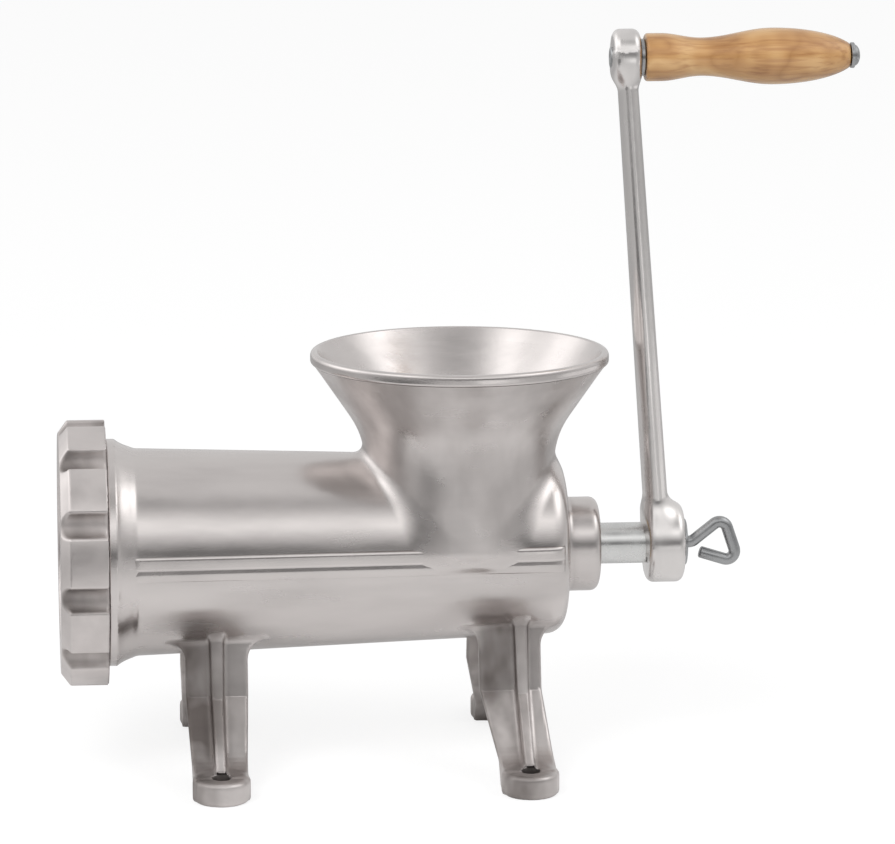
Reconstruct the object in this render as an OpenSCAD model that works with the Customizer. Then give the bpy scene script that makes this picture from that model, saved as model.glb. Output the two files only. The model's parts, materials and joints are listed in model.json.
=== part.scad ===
// Manual meat grinder, bolt-down pattern, tinned cast iron with a wooden crank grip.
// X runs along the barrel: the discharge ring is at -X, the crank at +X. Z is up.
// The origin is at the middle of the four foot bolts, on the table.

/* [Barrel] */
// Height of the barrel's axis above the table
axis_height = 111.5; // [105:0.5:135]
// Wall of the barrel around the knife
front_wall = 4; // [3:0.25:5]
// Outer diameter of the barrel at its rear end
barrel_rear_d = 92.6; // [88:0.2:98]
// Length of the tapered barrel, from the flange to the rear face
barrel_l = 229; // [220:1:245]
// Wall of the barrel around the worm
barrel_wall = 6.5; // [5:0.25:7.5]
// Wall at the closed rear end
rear_wall = 14; // [10:0.5:18]
// Rounding of the barrel's rear edge
rear_round = 10; // [6:0.5:12]
// Wall of the threaded neck under the ring nut
neck_wall = 6; // [5:0.1:7]
// Length of the threaded neck
neck_l = 14.1; // [12:0.1:18]
// How far the flange stands out from the neck
flange_step = 2.75; // [2:0.25:4]
// Thickness of the flange
flange_t = 7.4; // [5:0.1:10]
// Length of the cone that runs from the flange down to the barrel
shoulder_l = 6.5; // [4:0.5:9]
// Diameter of the bearing boss on the rear face
boss_d = 48.8; // [42:0.2:56]
// Length of the bearing boss
boss_l = 18; // [12:0.2:22]
// Rounding of the bearing boss
boss_round = 4.5; // [2:0.25:6]
// Radius of the fillets around the boss and over the legs
edge_round = 3; // [2:0.25:4]
// Bevel of the castings' small edges
edge_bevel = 1.5; // [1:0.1:2]

/* [Hopper] */
// Distance from the barrel's rear face to the hopper's axis
hopper_from_rear = 53.8; // [52:0.2:58]
// Outer diameter of the hopper's round neck
hopper_neck_d = 95.8; // [92:0.2:96]
// Width of the hopper's oval foot across the barrel
hopper_foot_w = 102.4; // [100:0.2:105]
// Height above the barrel's axis where the hopper's foot ends on the barrel's sides
hopper_foot_height = 5; // [2:0.5:10]
// How far the oval foot runs up past where the hopper starts to flare
hopper_foot_rise = 23; // [22:0.5:26]
// Height above the barrel's axis where the hopper starts to flare
hopper_flare_height = 40; // [37:0.5:44]
// Radius of the bend between the neck and the cone
hopper_bend_r = 54; // [48:1:60]
// Outer diameter of the rim
rim_d = 153.8; // [150:0.2:160]
// Height of the rim above the barrel's axis
rim_height = 103; // [100:0.5:110]
// Height of the rim's lip
lip_h = 6; // [4:0.25:8]
// How far the lip stands out from the cone
lip_overhang = 1.4; // [1:0.1:2.5]
// Wall of the hopper
hopper_wall = 5; // [4:0.25:6]

/* [Legs] */
// Distance between the foot bolts along the barrel
leg_spacing_x = 156.5; // [145:0.5:165]
// Distance between the foot bolts across the barrel
leg_spacing_y = 168; // [160:1:180]
// Distance from the front foot bolts forward to the barrel's mouth
mouth_overhang = 68.7; // [62:0.1:78]
// Where each leg leaves the barrel, in degrees from straight down
leg_seat_angle = 41; // [38:0.5:44]
// Width of each leg below the barrel
leg_w = 32; // [28:0.5:36]
// Thickness of each leg's web
web_t = 7; // [5:0.5:9]
// Thickness of each leg's outer rib under the barrel
rib_top_t = 7; // [5:0.25:9]
// Thickness of the rib at the foot
rib_foot_t = 4.5; // [3:0.25:6]
// How far the rib stands out from the web at the knee
rib_depth = 6.5; // [4:0.5:8]
// Distance from the middle to the web's outer face at the knee
knee_y = 39; // [37:0.5:42]
// Height of the knee where the leg turns outward
knee_z = 43.5; // [38:0.5:48]
// Radius of the fillets between each leg and the barrel
leg_fillet = 11; // [6:0.5:14]
// Width of each foot pad
foot_w = 28; // [25:0.5:32]
// Thickness of each foot pad
foot_t = 12; // [8:0.5:13]
// Diameter of each foot bolt hole
foot_hole_d = 9; // [7:0.5:11]
// How far the tops of the rear legs lean forward
rear_leg_lean = 5.5; // [0:0.5:7]

/* [Ring nut] */
// Wall of the ring around its thread
ring_wall = 12.4; // [11:0.1:14]
// Number of grip notches
notches = 11; // [9:1:12]
// Width of the round notches
notch_w = 12.5; // [10:0.5:14]
// Length of the bevel around the front face
ring_bevel_l = 5; // [3:0.25:7]
// Width of the bevel around the front face
ring_bevel_w = 7; // [4:0.25:9]
// Thickness of the lip that holds the plate
ring_lip_t = 5.5; // [4:0.25:7]
// How far the lip reaches in over the plate
ring_lip_w = 5.5; // [4:0.25:7]
// Where the first notch stands around the ring, in degrees
notch_angle = 91; // [80:1:120]

/* [Cutting set] */
// Diameter of the grinding plate
plate_d = 99; // [98:0.25:100]
// Thickness of the grinding plate
plate_t = 10; // [8:0.25:12]
// How deep the plate sits in the barrel's mouth
plate_seat = 5.5; // [5:0.25:7]
// Diameter of the plate's holes
plate_hole_d = 8.5; // [6:0.25:9]
// Plain rim outside the plate's holes
plate_rim = 6; // [5.5:0.25:8]
// Plain ring around the plate's pilot hole
plate_hub = 5; // [4:0.25:6]
// Diameter of the plate's locating pin
key_d = 4.5; // [4:0.25:5]
// How far the locating pin reaches into the plate
key_reach = 3; // [2:0.25:4]
// How deep the locating pin is driven into the barrel
key_bite = 4; // [3:0.25:4.5]
// Thickness of the knife
knife_t = 12; // [10:0.25:14]
// How far the knife's blades stay inside the plate's edge
knife_inset = 2.5; // [1.5:0.1:5]
// Diameter of the knife's hub
knife_hub_d = 34; // [30:0.5:40]
// Width of the knife's blades
blade_w = 15; // [12:0.5:18]
// Thickness of the knife's blades
blade_t = 9; // [7:0.25:10]
// Depth of the hollow in each blade's trailing edge
blade_hollow = 3; // [2:0.25:4]
// How far the barrel's recess runs past the knife
recess_margin = 2; // [1:0.25:3]
// Size across the knife's square
knife_square = 14; // [13:0.25:16]
// Diameter of the pilot that runs in the plate
pilot_d = 12.7; // [11:0.1:12.9]

/* [Worm and shaft] */
// Diameter of the worm's core at the rear
core_rear_d = 36; // [32:0.5:40]
// Diameter of the worm's core at the front
core_front_d = 46; // [40:0.5:52]
// Lead of the flight at the rear
pitch_rear = 62; // [56:1:70]
// Lead of the flight at the front
pitch_front = 46; // [40:1:54]
// Thickness of the flight at its edge
flight_tip_t = 6; // [5:0.25:8]
// Thickness of the flight at its root
flight_root_t = 13; // [11:0.5:16]
// Diameter of the knife stud's tail in the worm
stud_tail_d = 16; // [13:0.5:18]
// Length of the knife stud's tail in the worm
stud_tail_l = 26; // [20:1:34]
// Diameter of the shaft's tail in the worm
shaft_tail_d = 18; // [15:0.5:20]
// Length of the shaft's tail in the worm
shaft_tail_l = 30; // [24:1:40]
// Diameter of the drive shaft
shaft_d = 21.3; // [20.5:0.1:23]
// Length of shaft that shows between the boss and the crank
shaft_reach = 25.2; // [22:0.2:32]
// Size across the square end of the shaft
shaft_square = 15; // [13:0.1:15]
// Wall of the bearing bush
bush_wall = 3.4; // [2.5:0.1:5]
// Diameter of the bush's flange and of the thrust washer
thrust_d = 36; // [34:0.5:40]
// Thickness of the bush's flange
bush_flange_t = 2; // [1.5:0.1:3]
// Thickness of the thrust washer
thrust_t = 2; // [1:0.1:3]

/* [Crank] */
// Throw of the crank, from the shaft to the grip
crank_throw = 253.3; // [230:1:280]
// Diameter of the crank's hub
hub_d = 41.4; // [38:0.2:46]
// Length of the crank's hub
hub_l = 19.2; // [17:0.2:24]
// Rounding of the crank's hub and grip boss
hub_round = 4; // [2:0.25:5]
// Diameter of the boss that holds the grip
grip_boss_d = 24.6; // [22:0.2:28]
// Length of the boss that holds the grip
grip_boss_l = 14; // [12:0.2:18]
// How far the grip boss is set in towards the hopper from the hub's face
crank_set_in = 18.7; // [10:0.2:20]
// Thickness of the arm at the hub
arm_t = 13; // [11:0.2:15]
// Width of the arm at the hub
arm_hub_w = 24; // [20:0.5:28]
// Width of the arm at the grip
arm_grip_w = 19; // [16:0.5:20]

/* [Grip] */
// Length of the wooden grip
grip_l = 106; // [95:1:120]
// Diameter of the grip's collar next to the crank
grip_collar_d = 24.6; // [22:0.2:28]
// Length of the grip's collar
collar_l = 8; // [6:0.5:10]
// Diameter of the grip's waist
grip_waist_d = 19.6; // [18:0.2:22]
// Distance from the crank to the grip's waist
waist_s = 29; // [24:1:34]
// Diameter of the grip's belly
grip_belly_d = 29; // [26:0.2:32]
// Distance from the crank to the grip's belly
belly_s = 66; // [58:1:74]
// Diameter of the grip's outer end
grip_end_d = 12; // [11:0.2:14]
// Diameter of the steel spindle inside the grip
spindle_d = 8; // [7:0.1:9]
// Diameter of the spindle's riveted ends
rivet_d = 11; // [10.5:0.1:11.5]
// Height of the spindle's domed outer end
rivet_h = 3; // [2:0.25:4]
// Height of the spindle's flat inner end
rivet_head_h = 1.2; // [0.8:0.1:2]
// Thickness of the two grip washers
grip_washer_t = 2; // [1:0.1:2.5]
// Diameter of the washer between the crank and the grip
inner_washer_d = 19; // [16:0.2:22]
// Diameter of the washer under the spindle's riveted end
outer_washer_d = 13.2; // [12:0.2:15]

/* [Thumb screw] */
// Diameter of the screw's shank
screw_d = 8; // [7:0.1:9]
// Length of shank inside the shaft
screw_l = 18; // [14:0.5:22]
// Diameter of the bent wire
wire_d = 6.2; // [5.5:0.1:6.8]
// Length of the wire loop
loop_l = 28; // [26:0.5:34]
// Distance from the washer to the loop's upper bend
loop_top_s = 19.6; // [18:0.2:22]
// Height of the loop's upper bend over the shaft's axis
loop_top = 13; // [11.5:0.5:16]
// Depth of the loop's lower bend under the shaft's axis
loop_low = 12; // [11:0.5:15]
// Radius of the wire's bends
bend_r = 4.25; // [4:0.25:5.5]
// Diameter of the washer on the crank's hub
crank_washer_d = 24; // [22:0.5:28]
// Thickness of the washer on the crank's hub
crank_washer_t = 1.6; // [1:0.1:2.5]

/* [Fits] */
// Gap between faces that turn or slide on each other
running_gap = 0.3; // [0.2:0.05:0.5]
// Radial clearance of turning pins and shafts
turning_clearance = 0.07; // [0.05:0.01:0.1]
// Radial clearance in the ring nut's thread
thread_clearance = 0.3; // [0.2:0.05:0.5]
// Radial clearance of the plate in the barrel's mouth
plate_clearance = 0.25; // [0.15:0.05:0.4]
// Radial clearance of the worm in the barrel
worm_clearance = 0.8; // [0.5:0.1:1.2]
// Clearance of pieces that are driven into or onto each other
seat_clearance = 0.05; // [0.02:0.01:0.1]

/* [Hidden] */
$fn = 96;
// Steps along a rounded corner, and along a wide bend
corner_steps = 5;
bend_steps = 8;
// How far a cut runs past the face that it opens
past = 1;

// Places along the barrel, from the discharge end to the crank
mouth_x = -(leg_spacing_x / 2 + mouth_overhang);
flange_x = mouth_x + neck_l;
barrel_x = flange_x + flange_t;
rear_x = barrel_x + barrel_l;
boss_x = rear_x + boss_l;
inner_rear_x = rear_x - rear_wall;
plate_back_x = mouth_x + plate_seat;
plate_front_x = plate_back_x - plate_t;
ring_front_x = plate_front_x - running_gap - ring_lip_t;
ring_back_x = flange_x - 2 * running_gap;
knife_front_x = plate_back_x + running_gap;
knife_back_x = knife_front_x + knife_t;
key_x = mouth_x + plate_seat / 2;
bush_flange_x = inner_rear_x - bush_flange_t;
thrust_x = bush_flange_x - running_gap - thrust_t;
worm_front_x = knife_back_x;
worm_rear_x = thrust_x - running_gap;
worm_l = worm_rear_x - worm_front_x;
hub_x = boss_x + shaft_reach;
hub_end_x = hub_x + hub_l;
square_end_x = hub_end_x - past;
hopper_x = rear_x - hopper_from_rear;

// The barrel's mouth holds the plate and the knife in one straight recess
mouth_bore_d = plate_d + 2 * plate_clearance;
mouth_bore_end_x = knife_back_x + recess_margin;
barrel_front_d = mouth_bore_d + 2 * front_wall;
neck_d = mouth_bore_d + 2 * neck_wall;
flange_d = neck_d + 2 * flange_step;
ring_d = neck_d + 2 * (thread_clearance + ring_wall);
discharge_d = plate_d - 2 * ring_lip_w;
knife_d = plate_d - 2 * knife_inset;
bush_d = shaft_d + 2 * bush_wall;

// Slope of the hopper's cone from upright, so that it runs from the bend to the lip
bend_middle = [hopper_neck_d / 2 + hopper_bend_r, hopper_flare_height];
cone_top = [rim_d / 2 - lip_overhang, rim_height - lip_h] - bend_middle;
hopper_slope = 180 - atan2(cone_top[1], cone_top[0]) - acos(hopper_bend_r / norm(cone_top));

// Legs
bolt_x = leg_spacing_x / 2;
bolt_y = leg_spacing_y / 2;

// Crank and grip
crank_z = axis_height + crank_throw;
grip_boss_x = hub_x - crank_set_in;
grip_boss_end_x = grip_boss_x + grip_boss_l;
grip_x = grip_boss_end_x + grip_washer_t + 2 * running_gap;
grip_end_x = grip_x + grip_l;
outer_washer_x = grip_end_x + running_gap;
spindle_end_x = outer_washer_x + grip_washer_t;

// Thumb screw
crank_washer_x = hub_end_x + running_gap;
loop_x = crank_washer_x + crank_washer_t + running_gap;
screw_tip_x = square_end_x - screw_l;

// Points along an arc, from one angle to another
function arc(c, r, a0, a1, n = corner_steps) =
  [for (i = [0:n]) let (a = a0 + (a1 - a0) * i / n) [c[0] + r * cos(a), c[1] + r * sin(a)]];

// Outer radius of the tapered barrel at a place along it
function barrel_r(x) =
  (barrel_front_d + (barrel_rear_d - barrel_front_d) * (x - barrel_x) / barrel_l) / 2;

// Radius of the worm's bore at a place along it
function bore_r(x) = barrel_r(x) - barrel_wall;

// Draws in the plane across the barrel, where 2-D x is Y and 2-D y is height over the axis
module across(x) {
  translate([x, 0, axis_height]) rotate([90, 0, 90]) children();
}

// A disc, or a tube with a bore, on the barrel's axis
module on_axis(x, l, d, bore = 0) {
  across(x) difference() {
    cylinder(h = l, d = d);
    if (bore > 0) translate([0, 0, -past]) cylinder(h = l + 2 * past, d = bore);
  }
}

// A disc or tube on the grip's axis
module on_grip(x, l, d, bore = 0) {
  translate([0, 0, crank_throw]) on_axis(x, l, d, bore);
}

// A square bar on the barrel's axis
module square_bar(x, l, size) {
  translate([x, -size / 2, axis_height - size / 2]) cube([l, size, size]);
}

// The barrel's outside: neck, flange, tapered barrel, rounded rear and bearing boss
module barrel_outside() {
  neck_r = neck_d / 2;
  flange_r = flange_d / 2;
  rear_r = barrel_rear_d / 2;
  boss_r = boss_d / 2;
  shoulder_end_x = barrel_x + shoulder_l / 2;
  across(0) rotate_extrude() polygon(concat(
    [[0, mouth_x], [neck_r - edge_bevel, mouth_x], [neck_r, mouth_x + edge_bevel], [neck_r, flange_x]],
    [[flange_r, flange_x], [flange_r, shoulder_end_x - shoulder_l]],
    [[barrel_r(shoulder_end_x), shoulder_end_x]],
    arc([rear_r - rear_round, rear_x - rear_round], rear_round, 0, 90, bend_steps),
    arc([boss_r + edge_round, rear_x + edge_round], edge_round, 270, 180),
    arc([boss_r - boss_round, boss_x - boss_round], boss_round, 0, 90),
    [[0, boss_x]]
  ));
}

// The barrel's inside: plate recess, tapered worm bore and the seat of the bush
module barrel_inside() {
  across(0) rotate_extrude() polygon([
    [0, mouth_x - past], [mouth_bore_d / 2, mouth_x - past], [mouth_bore_d / 2, mouth_bore_end_x],
    [bore_r(mouth_bore_end_x), mouth_bore_end_x], [bore_r(inner_rear_x), inner_rear_x], [0, inner_rear_x]
  ]);
  on_axis(inner_rear_x - past, rear_wall + boss_l + 2 * past, bush_d);
}

// Half profile of the hopper as [radius, height over the axis], drawn inward by a wall
function hopper_profile(wall) =
  let (neck_r = hopper_neck_d / 2 - wall,
       bend = hopper_bend_r + wall,
       bend_end = bend_middle + bend * [-cos(hopper_slope), sin(hopper_slope)],
       top = rim_height + past)
  concat(
    [[0, past], [neck_r, past]],
    arc(bend_middle, bend, 180, 180 - hopper_slope, bend_steps),
    [[bend_end[0] + (top - bend_end[1]) * tan(hopper_slope), top], [0, top]]
  );

// The hopper's foot is an oval that wraps the barrel's sides and ends in a blunt tongue on each
module hopper_foot() {
  foot_l = hopper_neck_d + 2 * past;
  foot_top = hopper_flare_height + hopper_foot_rise;
  translate([0, 0, hopper_foot_height]) scale([1, hopper_foot_w / foot_l, 1])
    cylinder(h = foot_top - hopper_foot_height, d = foot_l);
}

module hopper_outside() {
  lip_r = rim_d / 2;
  translate([hopper_x, 0, axis_height]) {
    hopper_foot();
    intersection() {
      rotate_extrude() polygon(hopper_profile(0));
      cylinder(h = rim_height, r = lip_r);
    }
    rotate_extrude() polygon(concat(
      [[hopper_neck_d / 2, rim_height - lip_h], [lip_r - edge_bevel, rim_height - lip_h]],
      [[lip_r, rim_height - lip_h + edge_bevel]],
      arc([lip_r - edge_bevel, rim_height - edge_bevel], edge_bevel, 0, 90),
      [[hopper_neck_d / 2, rim_height]]
    ));
  }
}

module hopper_inside() {
  translate([hopper_x, 0, axis_height]) rotate_extrude() polygon(hopper_profile(hopper_wall));
}

// Outline of a leg's web seen from the front: foot at X = 0, top leaning over, filleted to the barrel
module leg_outline(seat_z, lean) {
  top_z = seat_z + leg_w / 2;
  half = leg_w / 2;
  foot_half = foot_w / 2;
  fillet_z = seat_z - leg_fillet;
  fillet_sweep = 80;
  right = concat(
    [[foot_half, 0], [foot_half, foot_t], [half - lean, knee_z]],
    arc([half - lean + leg_fillet, fillet_z], leg_fillet, 180, 180 - fillet_sweep)
  );
  left = concat(
    arc([-half - lean - leg_fillet, fillet_z], leg_fillet, fillet_sweep, 0),
    [[-half - lean, knee_z], [-foot_half, foot_t], [-foot_half, 0]]
  );
  top_right = right[len(right) - 1][0];
  polygon(concat(right, [[top_right, top_z], [left[0][0], top_z]], left));
}

// Outline of a leg's rib seen from the front: upright, tapering to the foot
module rib_outline(seat_z) {
  top_z = seat_z + leg_w / 2;
  polygon([
    [-rib_foot_t / 2, 0], [rib_foot_t / 2, 0], [rib_top_t / 2, top_z], [-rib_top_t / 2, top_z]
  ]);
}

// Keeps what lies both in a side outline (first child, in Y-Z) and a front outline (second child, in X-Z)
module side_and_front() {
  half_reach = 2 * leg_w;
  intersection() {
    rotate([90, 0, 90]) translate([0, 0, -half_reach]) linear_extrude(2 * half_reach) children(0);
    rotate([90, 0, 0]) linear_extrude(leg_spacing_y) children(1);
  }
}

// One leg on the -Y side with its foot at X = 0, for a place along the barrel
module leg(x, lean) {
  seat_y = barrel_r(x) * sin(leg_seat_angle);
  seat_z = axis_height - barrel_r(x) * cos(leg_seat_angle);
  top_z = seat_z + barrel_wall + edge_round;
  shin_y = bolt_y - foot_w / 2 - edge_bevel;
  heel_y = bolt_y - foot_w / 2;
  rib_top_y = seat_y + rib_depth / 2;
  side_and_front() {
    polygon([
      [-seat_y, top_z], [-seat_y, seat_z], [-knee_y, knee_z], [-shin_y, foot_t], [-bolt_y, foot_t],
      [-bolt_y, 0], [-heel_y, 0], [web_t - knee_y, knee_z - web_t / 2], [web_t - seat_y, top_z]
    ]);
    leg_outline(seat_z, lean);
  }
  side_and_front() {
    polygon([
      [-rib_top_y, top_z], [-rib_top_y, seat_z], [-knee_y - rib_depth, knee_z], [-bolt_y, foot_t - past],
      [web_t - shin_y, foot_t - past], [web_t / 2 - knee_y, knee_z - web_t / 2], [web_t / 2 - seat_y, top_z]
    ]);
    rib_outline(seat_z);
  }
  translate([0, -bolt_y, 0]) cylinder(h = foot_t, d = foot_w);
}

module legs() {
  for (end = [-1, 1]) for (side = [0, 1])
    translate([end * bolt_x, 0, 0]) mirror([0, side, 0]) leg(end * bolt_x, end > 0 ? rear_leg_lean : 0);
}

module foot_holes() {
  for (end = [-1, 1]) for (side = [-1, 1])
    translate([end * bolt_x, side * bolt_y, -past]) cylinder(h = foot_t + 2 * past, d = foot_hole_d);
}

// The plate's locating pin stands at the bottom of the mouth and points inward
module key_pin(d, bite) {
  translate([key_x, 0, axis_height - plate_d / 2 - bite]) cylinder(h = bite + key_reach, d = d);
}

module grinder_body() {
  color("silver") difference() {
    union() {
      barrel_outside();
      hopper_outside();
      legs();
    }
    barrel_inside();
    hopper_inside();
    foot_holes();
    key_pin(key_d + 2 * seat_clearance, key_bite);
  }
}

module rear_bush() {
  bore = shaft_d + 2 * turning_clearance;
  color("darkgoldenrod") {
    on_axis(inner_rear_x, rear_wall + boss_l, bush_d - 2 * seat_clearance, bore);
    on_axis(bush_flange_x, bush_flange_t, thrust_d, bore);
  }
}

module thrust_washer() {
  color("dimgray") on_axis(thrust_x, thrust_t, thrust_d, shaft_d + 2 * running_gap);
}

module plate_key_pin() {
  color("gray") key_pin(key_d, key_bite - seat_clearance);
}

// A bevelled ring with round notches for the hand and a lip that holds the plate
module ring_nut() {
  ring_r = ring_d / 2;
  ring_l = ring_back_x - ring_front_x;
  color("lightgray") across(ring_front_x) difference() {
    rotate_extrude() polygon([
      [0, 0], [ring_r - ring_bevel_w, 0], [ring_r, ring_bevel_l],
      [ring_r, ring_l - edge_bevel], [ring_r - edge_bevel, ring_l], [0, ring_l]
    ]);
    translate([0, 0, -past]) cylinder(h = ring_lip_t + 2 * past, d = discharge_d);
    translate([0, 0, ring_lip_t]) cylinder(h = ring_l, d = neck_d + 2 * thread_clearance);
    for (i = [0:notches - 1]) rotate([0, 0, notch_angle + i * 360 / notches])
      translate([ring_r, 0, -past]) cylinder(h = ring_l + 2 * past, d = notch_w);
  }
}

module grinding_plate() {
  rows = 3;
  row_step = 6;
  first_r = pilot_d / 2 + plate_hub + plate_hole_d / 2;
  last_r = plate_d / 2 - plate_rim - plate_hole_d / 2;
  through = plate_t + 2 * past;
  key_notch_w = key_d + 2 * running_gap;
  color("darkgray") across(plate_front_x) difference() {
    cylinder(h = plate_t, d = plate_d);
    translate([0, 0, -past]) cylinder(h = through, d = pilot_d + 2 * turning_clearance);
    for (row = [0:rows - 1]) {
      r = first_r + (last_r - first_r) * row / (rows - 1);
      holes = row_step * (row + 1);
      for (i = [0:holes - 1]) rotate([0, 0, (i + row / 2) * 360 / holes])
        translate([r, 0, -past]) cylinder(h = through, d = plate_hole_d);
    }
    translate([-key_notch_w / 2, -plate_d / 2 - past, -past])
      cube([key_notch_w, past + key_reach + running_gap, through]);
  }
}

// One blade: its cutting edge leads, its flat face meets the plate and its back slopes away
module knife_blade() {
  tip_r = knife_d / 2;
  hub_r = knife_hub_d / 2;
  half = blade_w / 2;
  hollow_r = tip_r - hub_r;
  intersection() {
    linear_extrude(knife_t) difference() {
      translate([0, -half]) square([tip_r, blade_w]);
      translate([(tip_r + hub_r) / 2, half + hollow_r - blade_hollow]) circle(r = hollow_r);
    }
    rotate([90, 0, 90]) linear_extrude(tip_r) polygon([
      [-half, 0], [half, 0], [half, blade_t / 2], [0, blade_t], [-half, blade_t]
    ]);
    cylinder(h = knife_t, r = tip_r);
  }
}

module knife() {
  blades = 4;
  color("slategray") difference() {
    across(knife_front_x) {
      cylinder(h = knife_t, d = knife_hub_d);
      for (i = [0:blades - 1]) rotate([0, 0, i * 360 / blades]) knife_blade();
    }
    square_bar(knife_front_x - past, knife_t + 2 * past, knife_square + 2 * seat_clearance);
  }
}

// The stud has a round tail in the worm, a square for the knife and a pilot in the plate
module knife_stud() {
  pilot_x = plate_front_x - past;
  square_x = knife_front_x - running_gap / 2;
  color("gray") {
    on_axis(worm_front_x, stud_tail_l, stud_tail_d - 2 * seat_clearance);
    square_bar(square_x, worm_front_x - square_x, knife_square);
    on_axis(pilot_x, square_x - pilot_x, pilot_d);
  }
}

// Turns of the worm's flight per millimetre at a distance from its rear end, and the angle turned by there
function twist(s) = 1 / pitch_rear + (1 / pitch_front - 1 / pitch_rear) * s / worm_l;
function turned(s) = 360 * s * (twist(0) + twist(s)) / 2;

// Section of the worm across the axis: [angle, radius] over the flight and round the core
function worm_section(s) =
  let (x = worm_rear_x - s,
       tip = min(bore_r(x), mouth_bore_d / 2) - worm_clearance,
       core = (core_rear_d + (core_front_d - core_rear_d) * s / worm_l) / 2,
       tip_sweep = 360 * flight_tip_t * twist(s),
       root_sweep = 360 * flight_root_t * twist(s),
       tip_steps = 4,
       core_steps = 12)
  concat(
    [for (i = [0:tip_steps]) [tip_sweep * (i / tip_steps - 1 / 2), tip]],
    [for (i = [0:core_steps]) [root_sweep / 2 + (360 - root_sweep) * i / core_steps, core]]
  );

// A tapered core with one flight, whose lead shortens towards the knife
module worm_solid() {
  step_angle = 15;
  steps = ceil(turned(worm_l) / step_angle);
  sides = len(worm_section(0));
  points = concat(
    [for (k = [0:steps]) let (s = worm_l * k / steps, x = worm_rear_x - s)
      for (p = worm_section(s)) let (a = p[0] + turned(s))
        [x, p[1] * cos(a), axis_height + p[1] * sin(a)]],
    [[worm_rear_x, 0, axis_height], [worm_front_x, 0, axis_height]]
  );
  rear_middle = (steps + 1) * sides;
  faces = concat(
    [for (k = [0:steps - 1]) for (i = [0:sides - 1]) let (j = (i + 1) % sides)
      [k * sides + i, k * sides + j, (k + 1) * sides + j]],
    [for (k = [0:steps - 1]) for (i = [0:sides - 1]) let (j = (i + 1) % sides)
      [k * sides + i, (k + 1) * sides + j, (k + 1) * sides + i]],
    [for (i = [0:sides - 1]) [rear_middle, (i + 1) % sides, i]],
    [for (i = [0:sides - 1]) [rear_middle + 1, steps * sides + i, steps * sides + (i + 1) % sides]]
  );
  polyhedron(points, faces);
}

module auger_worm() {
  tail_bore = shaft_tail_d + 2 * seat_clearance;
  color("gainsboro") difference() {
    worm_solid();
    on_axis(worm_front_x - past, stud_tail_l + past + seat_clearance, stud_tail_d);
    on_axis(worm_rear_x - shaft_tail_l - seat_clearance, shaft_tail_l + past, tail_bore);
  }
}

module drive_shaft() {
  color("lightsteelblue") difference() {
    union() {
      on_axis(worm_rear_x - shaft_tail_l, shaft_tail_l, shaft_tail_d);
      on_axis(worm_rear_x, hub_x - worm_rear_x, shaft_d);
      square_bar(hub_x, square_end_x - hub_x, shaft_square);
    }
    on_axis(screw_tip_x - past, screw_l + 2 * past, screw_d + 2 * turning_clearance);
  }
}

// A drum on the barrel's axis with both edges rounded
module rounded_drum(x, l, d, r) {
  across(x) rotate_extrude() polygon(concat(
    [[0, 0]], arc([d / 2 - r, r], r, 270, 360), arc([d / 2 - r, l - r], r, 0, 90), [[0, l]]
  ));
}

// The arm is an oval bar that tapers from the hub to the grip boss
module crank_bar() {
  foot = [hub_x + arm_t / 2 + running_gap, axis_height];
  head = [grip_boss_x + grip_boss_l / 2, crank_z];
  lean = atan2(head[0] - foot[0], head[1] - foot[1]);
  translate([foot[0], 0, foot[1]]) rotate([0, lean, 0]) scale([arm_t / arm_hub_w, 1, 1])
    cylinder(h = norm(head - foot), d1 = arm_hub_w, d2 = arm_grip_w);
}

module crank_arm() {
  spindle_bore_x = grip_boss_x - arm_t;
  color("silver") difference() {
    union() {
      rounded_drum(hub_x, hub_l, hub_d, hub_round);
      translate([0, 0, crank_throw]) rounded_drum(grip_boss_x, grip_boss_l, grip_boss_d, hub_round);
      crank_bar();
    }
    square_bar(hub_x - hub_l, 3 * hub_l, shaft_square + 2 * seat_clearance);
    on_grip(spindle_bore_x, grip_boss_l + 2 * arm_t, spindle_d + 2 * seat_clearance);
  }
}

module crank_washer() {
  color("gray") on_axis(crank_washer_x, crank_washer_t, crank_washer_d, screw_d + 2 * running_gap);
}

// Line through corner points in the X-Z plane, with each inner corner rounded
function corner_points(a, b, c, r, n) =
  let (u = (a - b) / norm(a - b), v = (c - b) / norm(c - b),
       half = acos(u * v) / 2,
       middle = b + (u + v) / norm(u + v) * r / sin(half),
       first = b + u * r / tan(half) - middle,
       final = b + v * r / tan(half) - middle,
       start = atan2(first[1], first[0]),
       turn = (atan2(final[1], final[0]) - start + 540) % 360 - 180)
  [for (i = [0:n]) middle + r * [cos(start + turn * i / n), sin(start + turn * i / n)]];

function rounded_line(p, r, n) = concat(
  [p[0]],
  [for (i = [1:len(p) - 2]) for (q = corner_points(p[i - 1], p[i], p[i + 1], r, n)) q],
  [p[len(p) - 1]]
);

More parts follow.
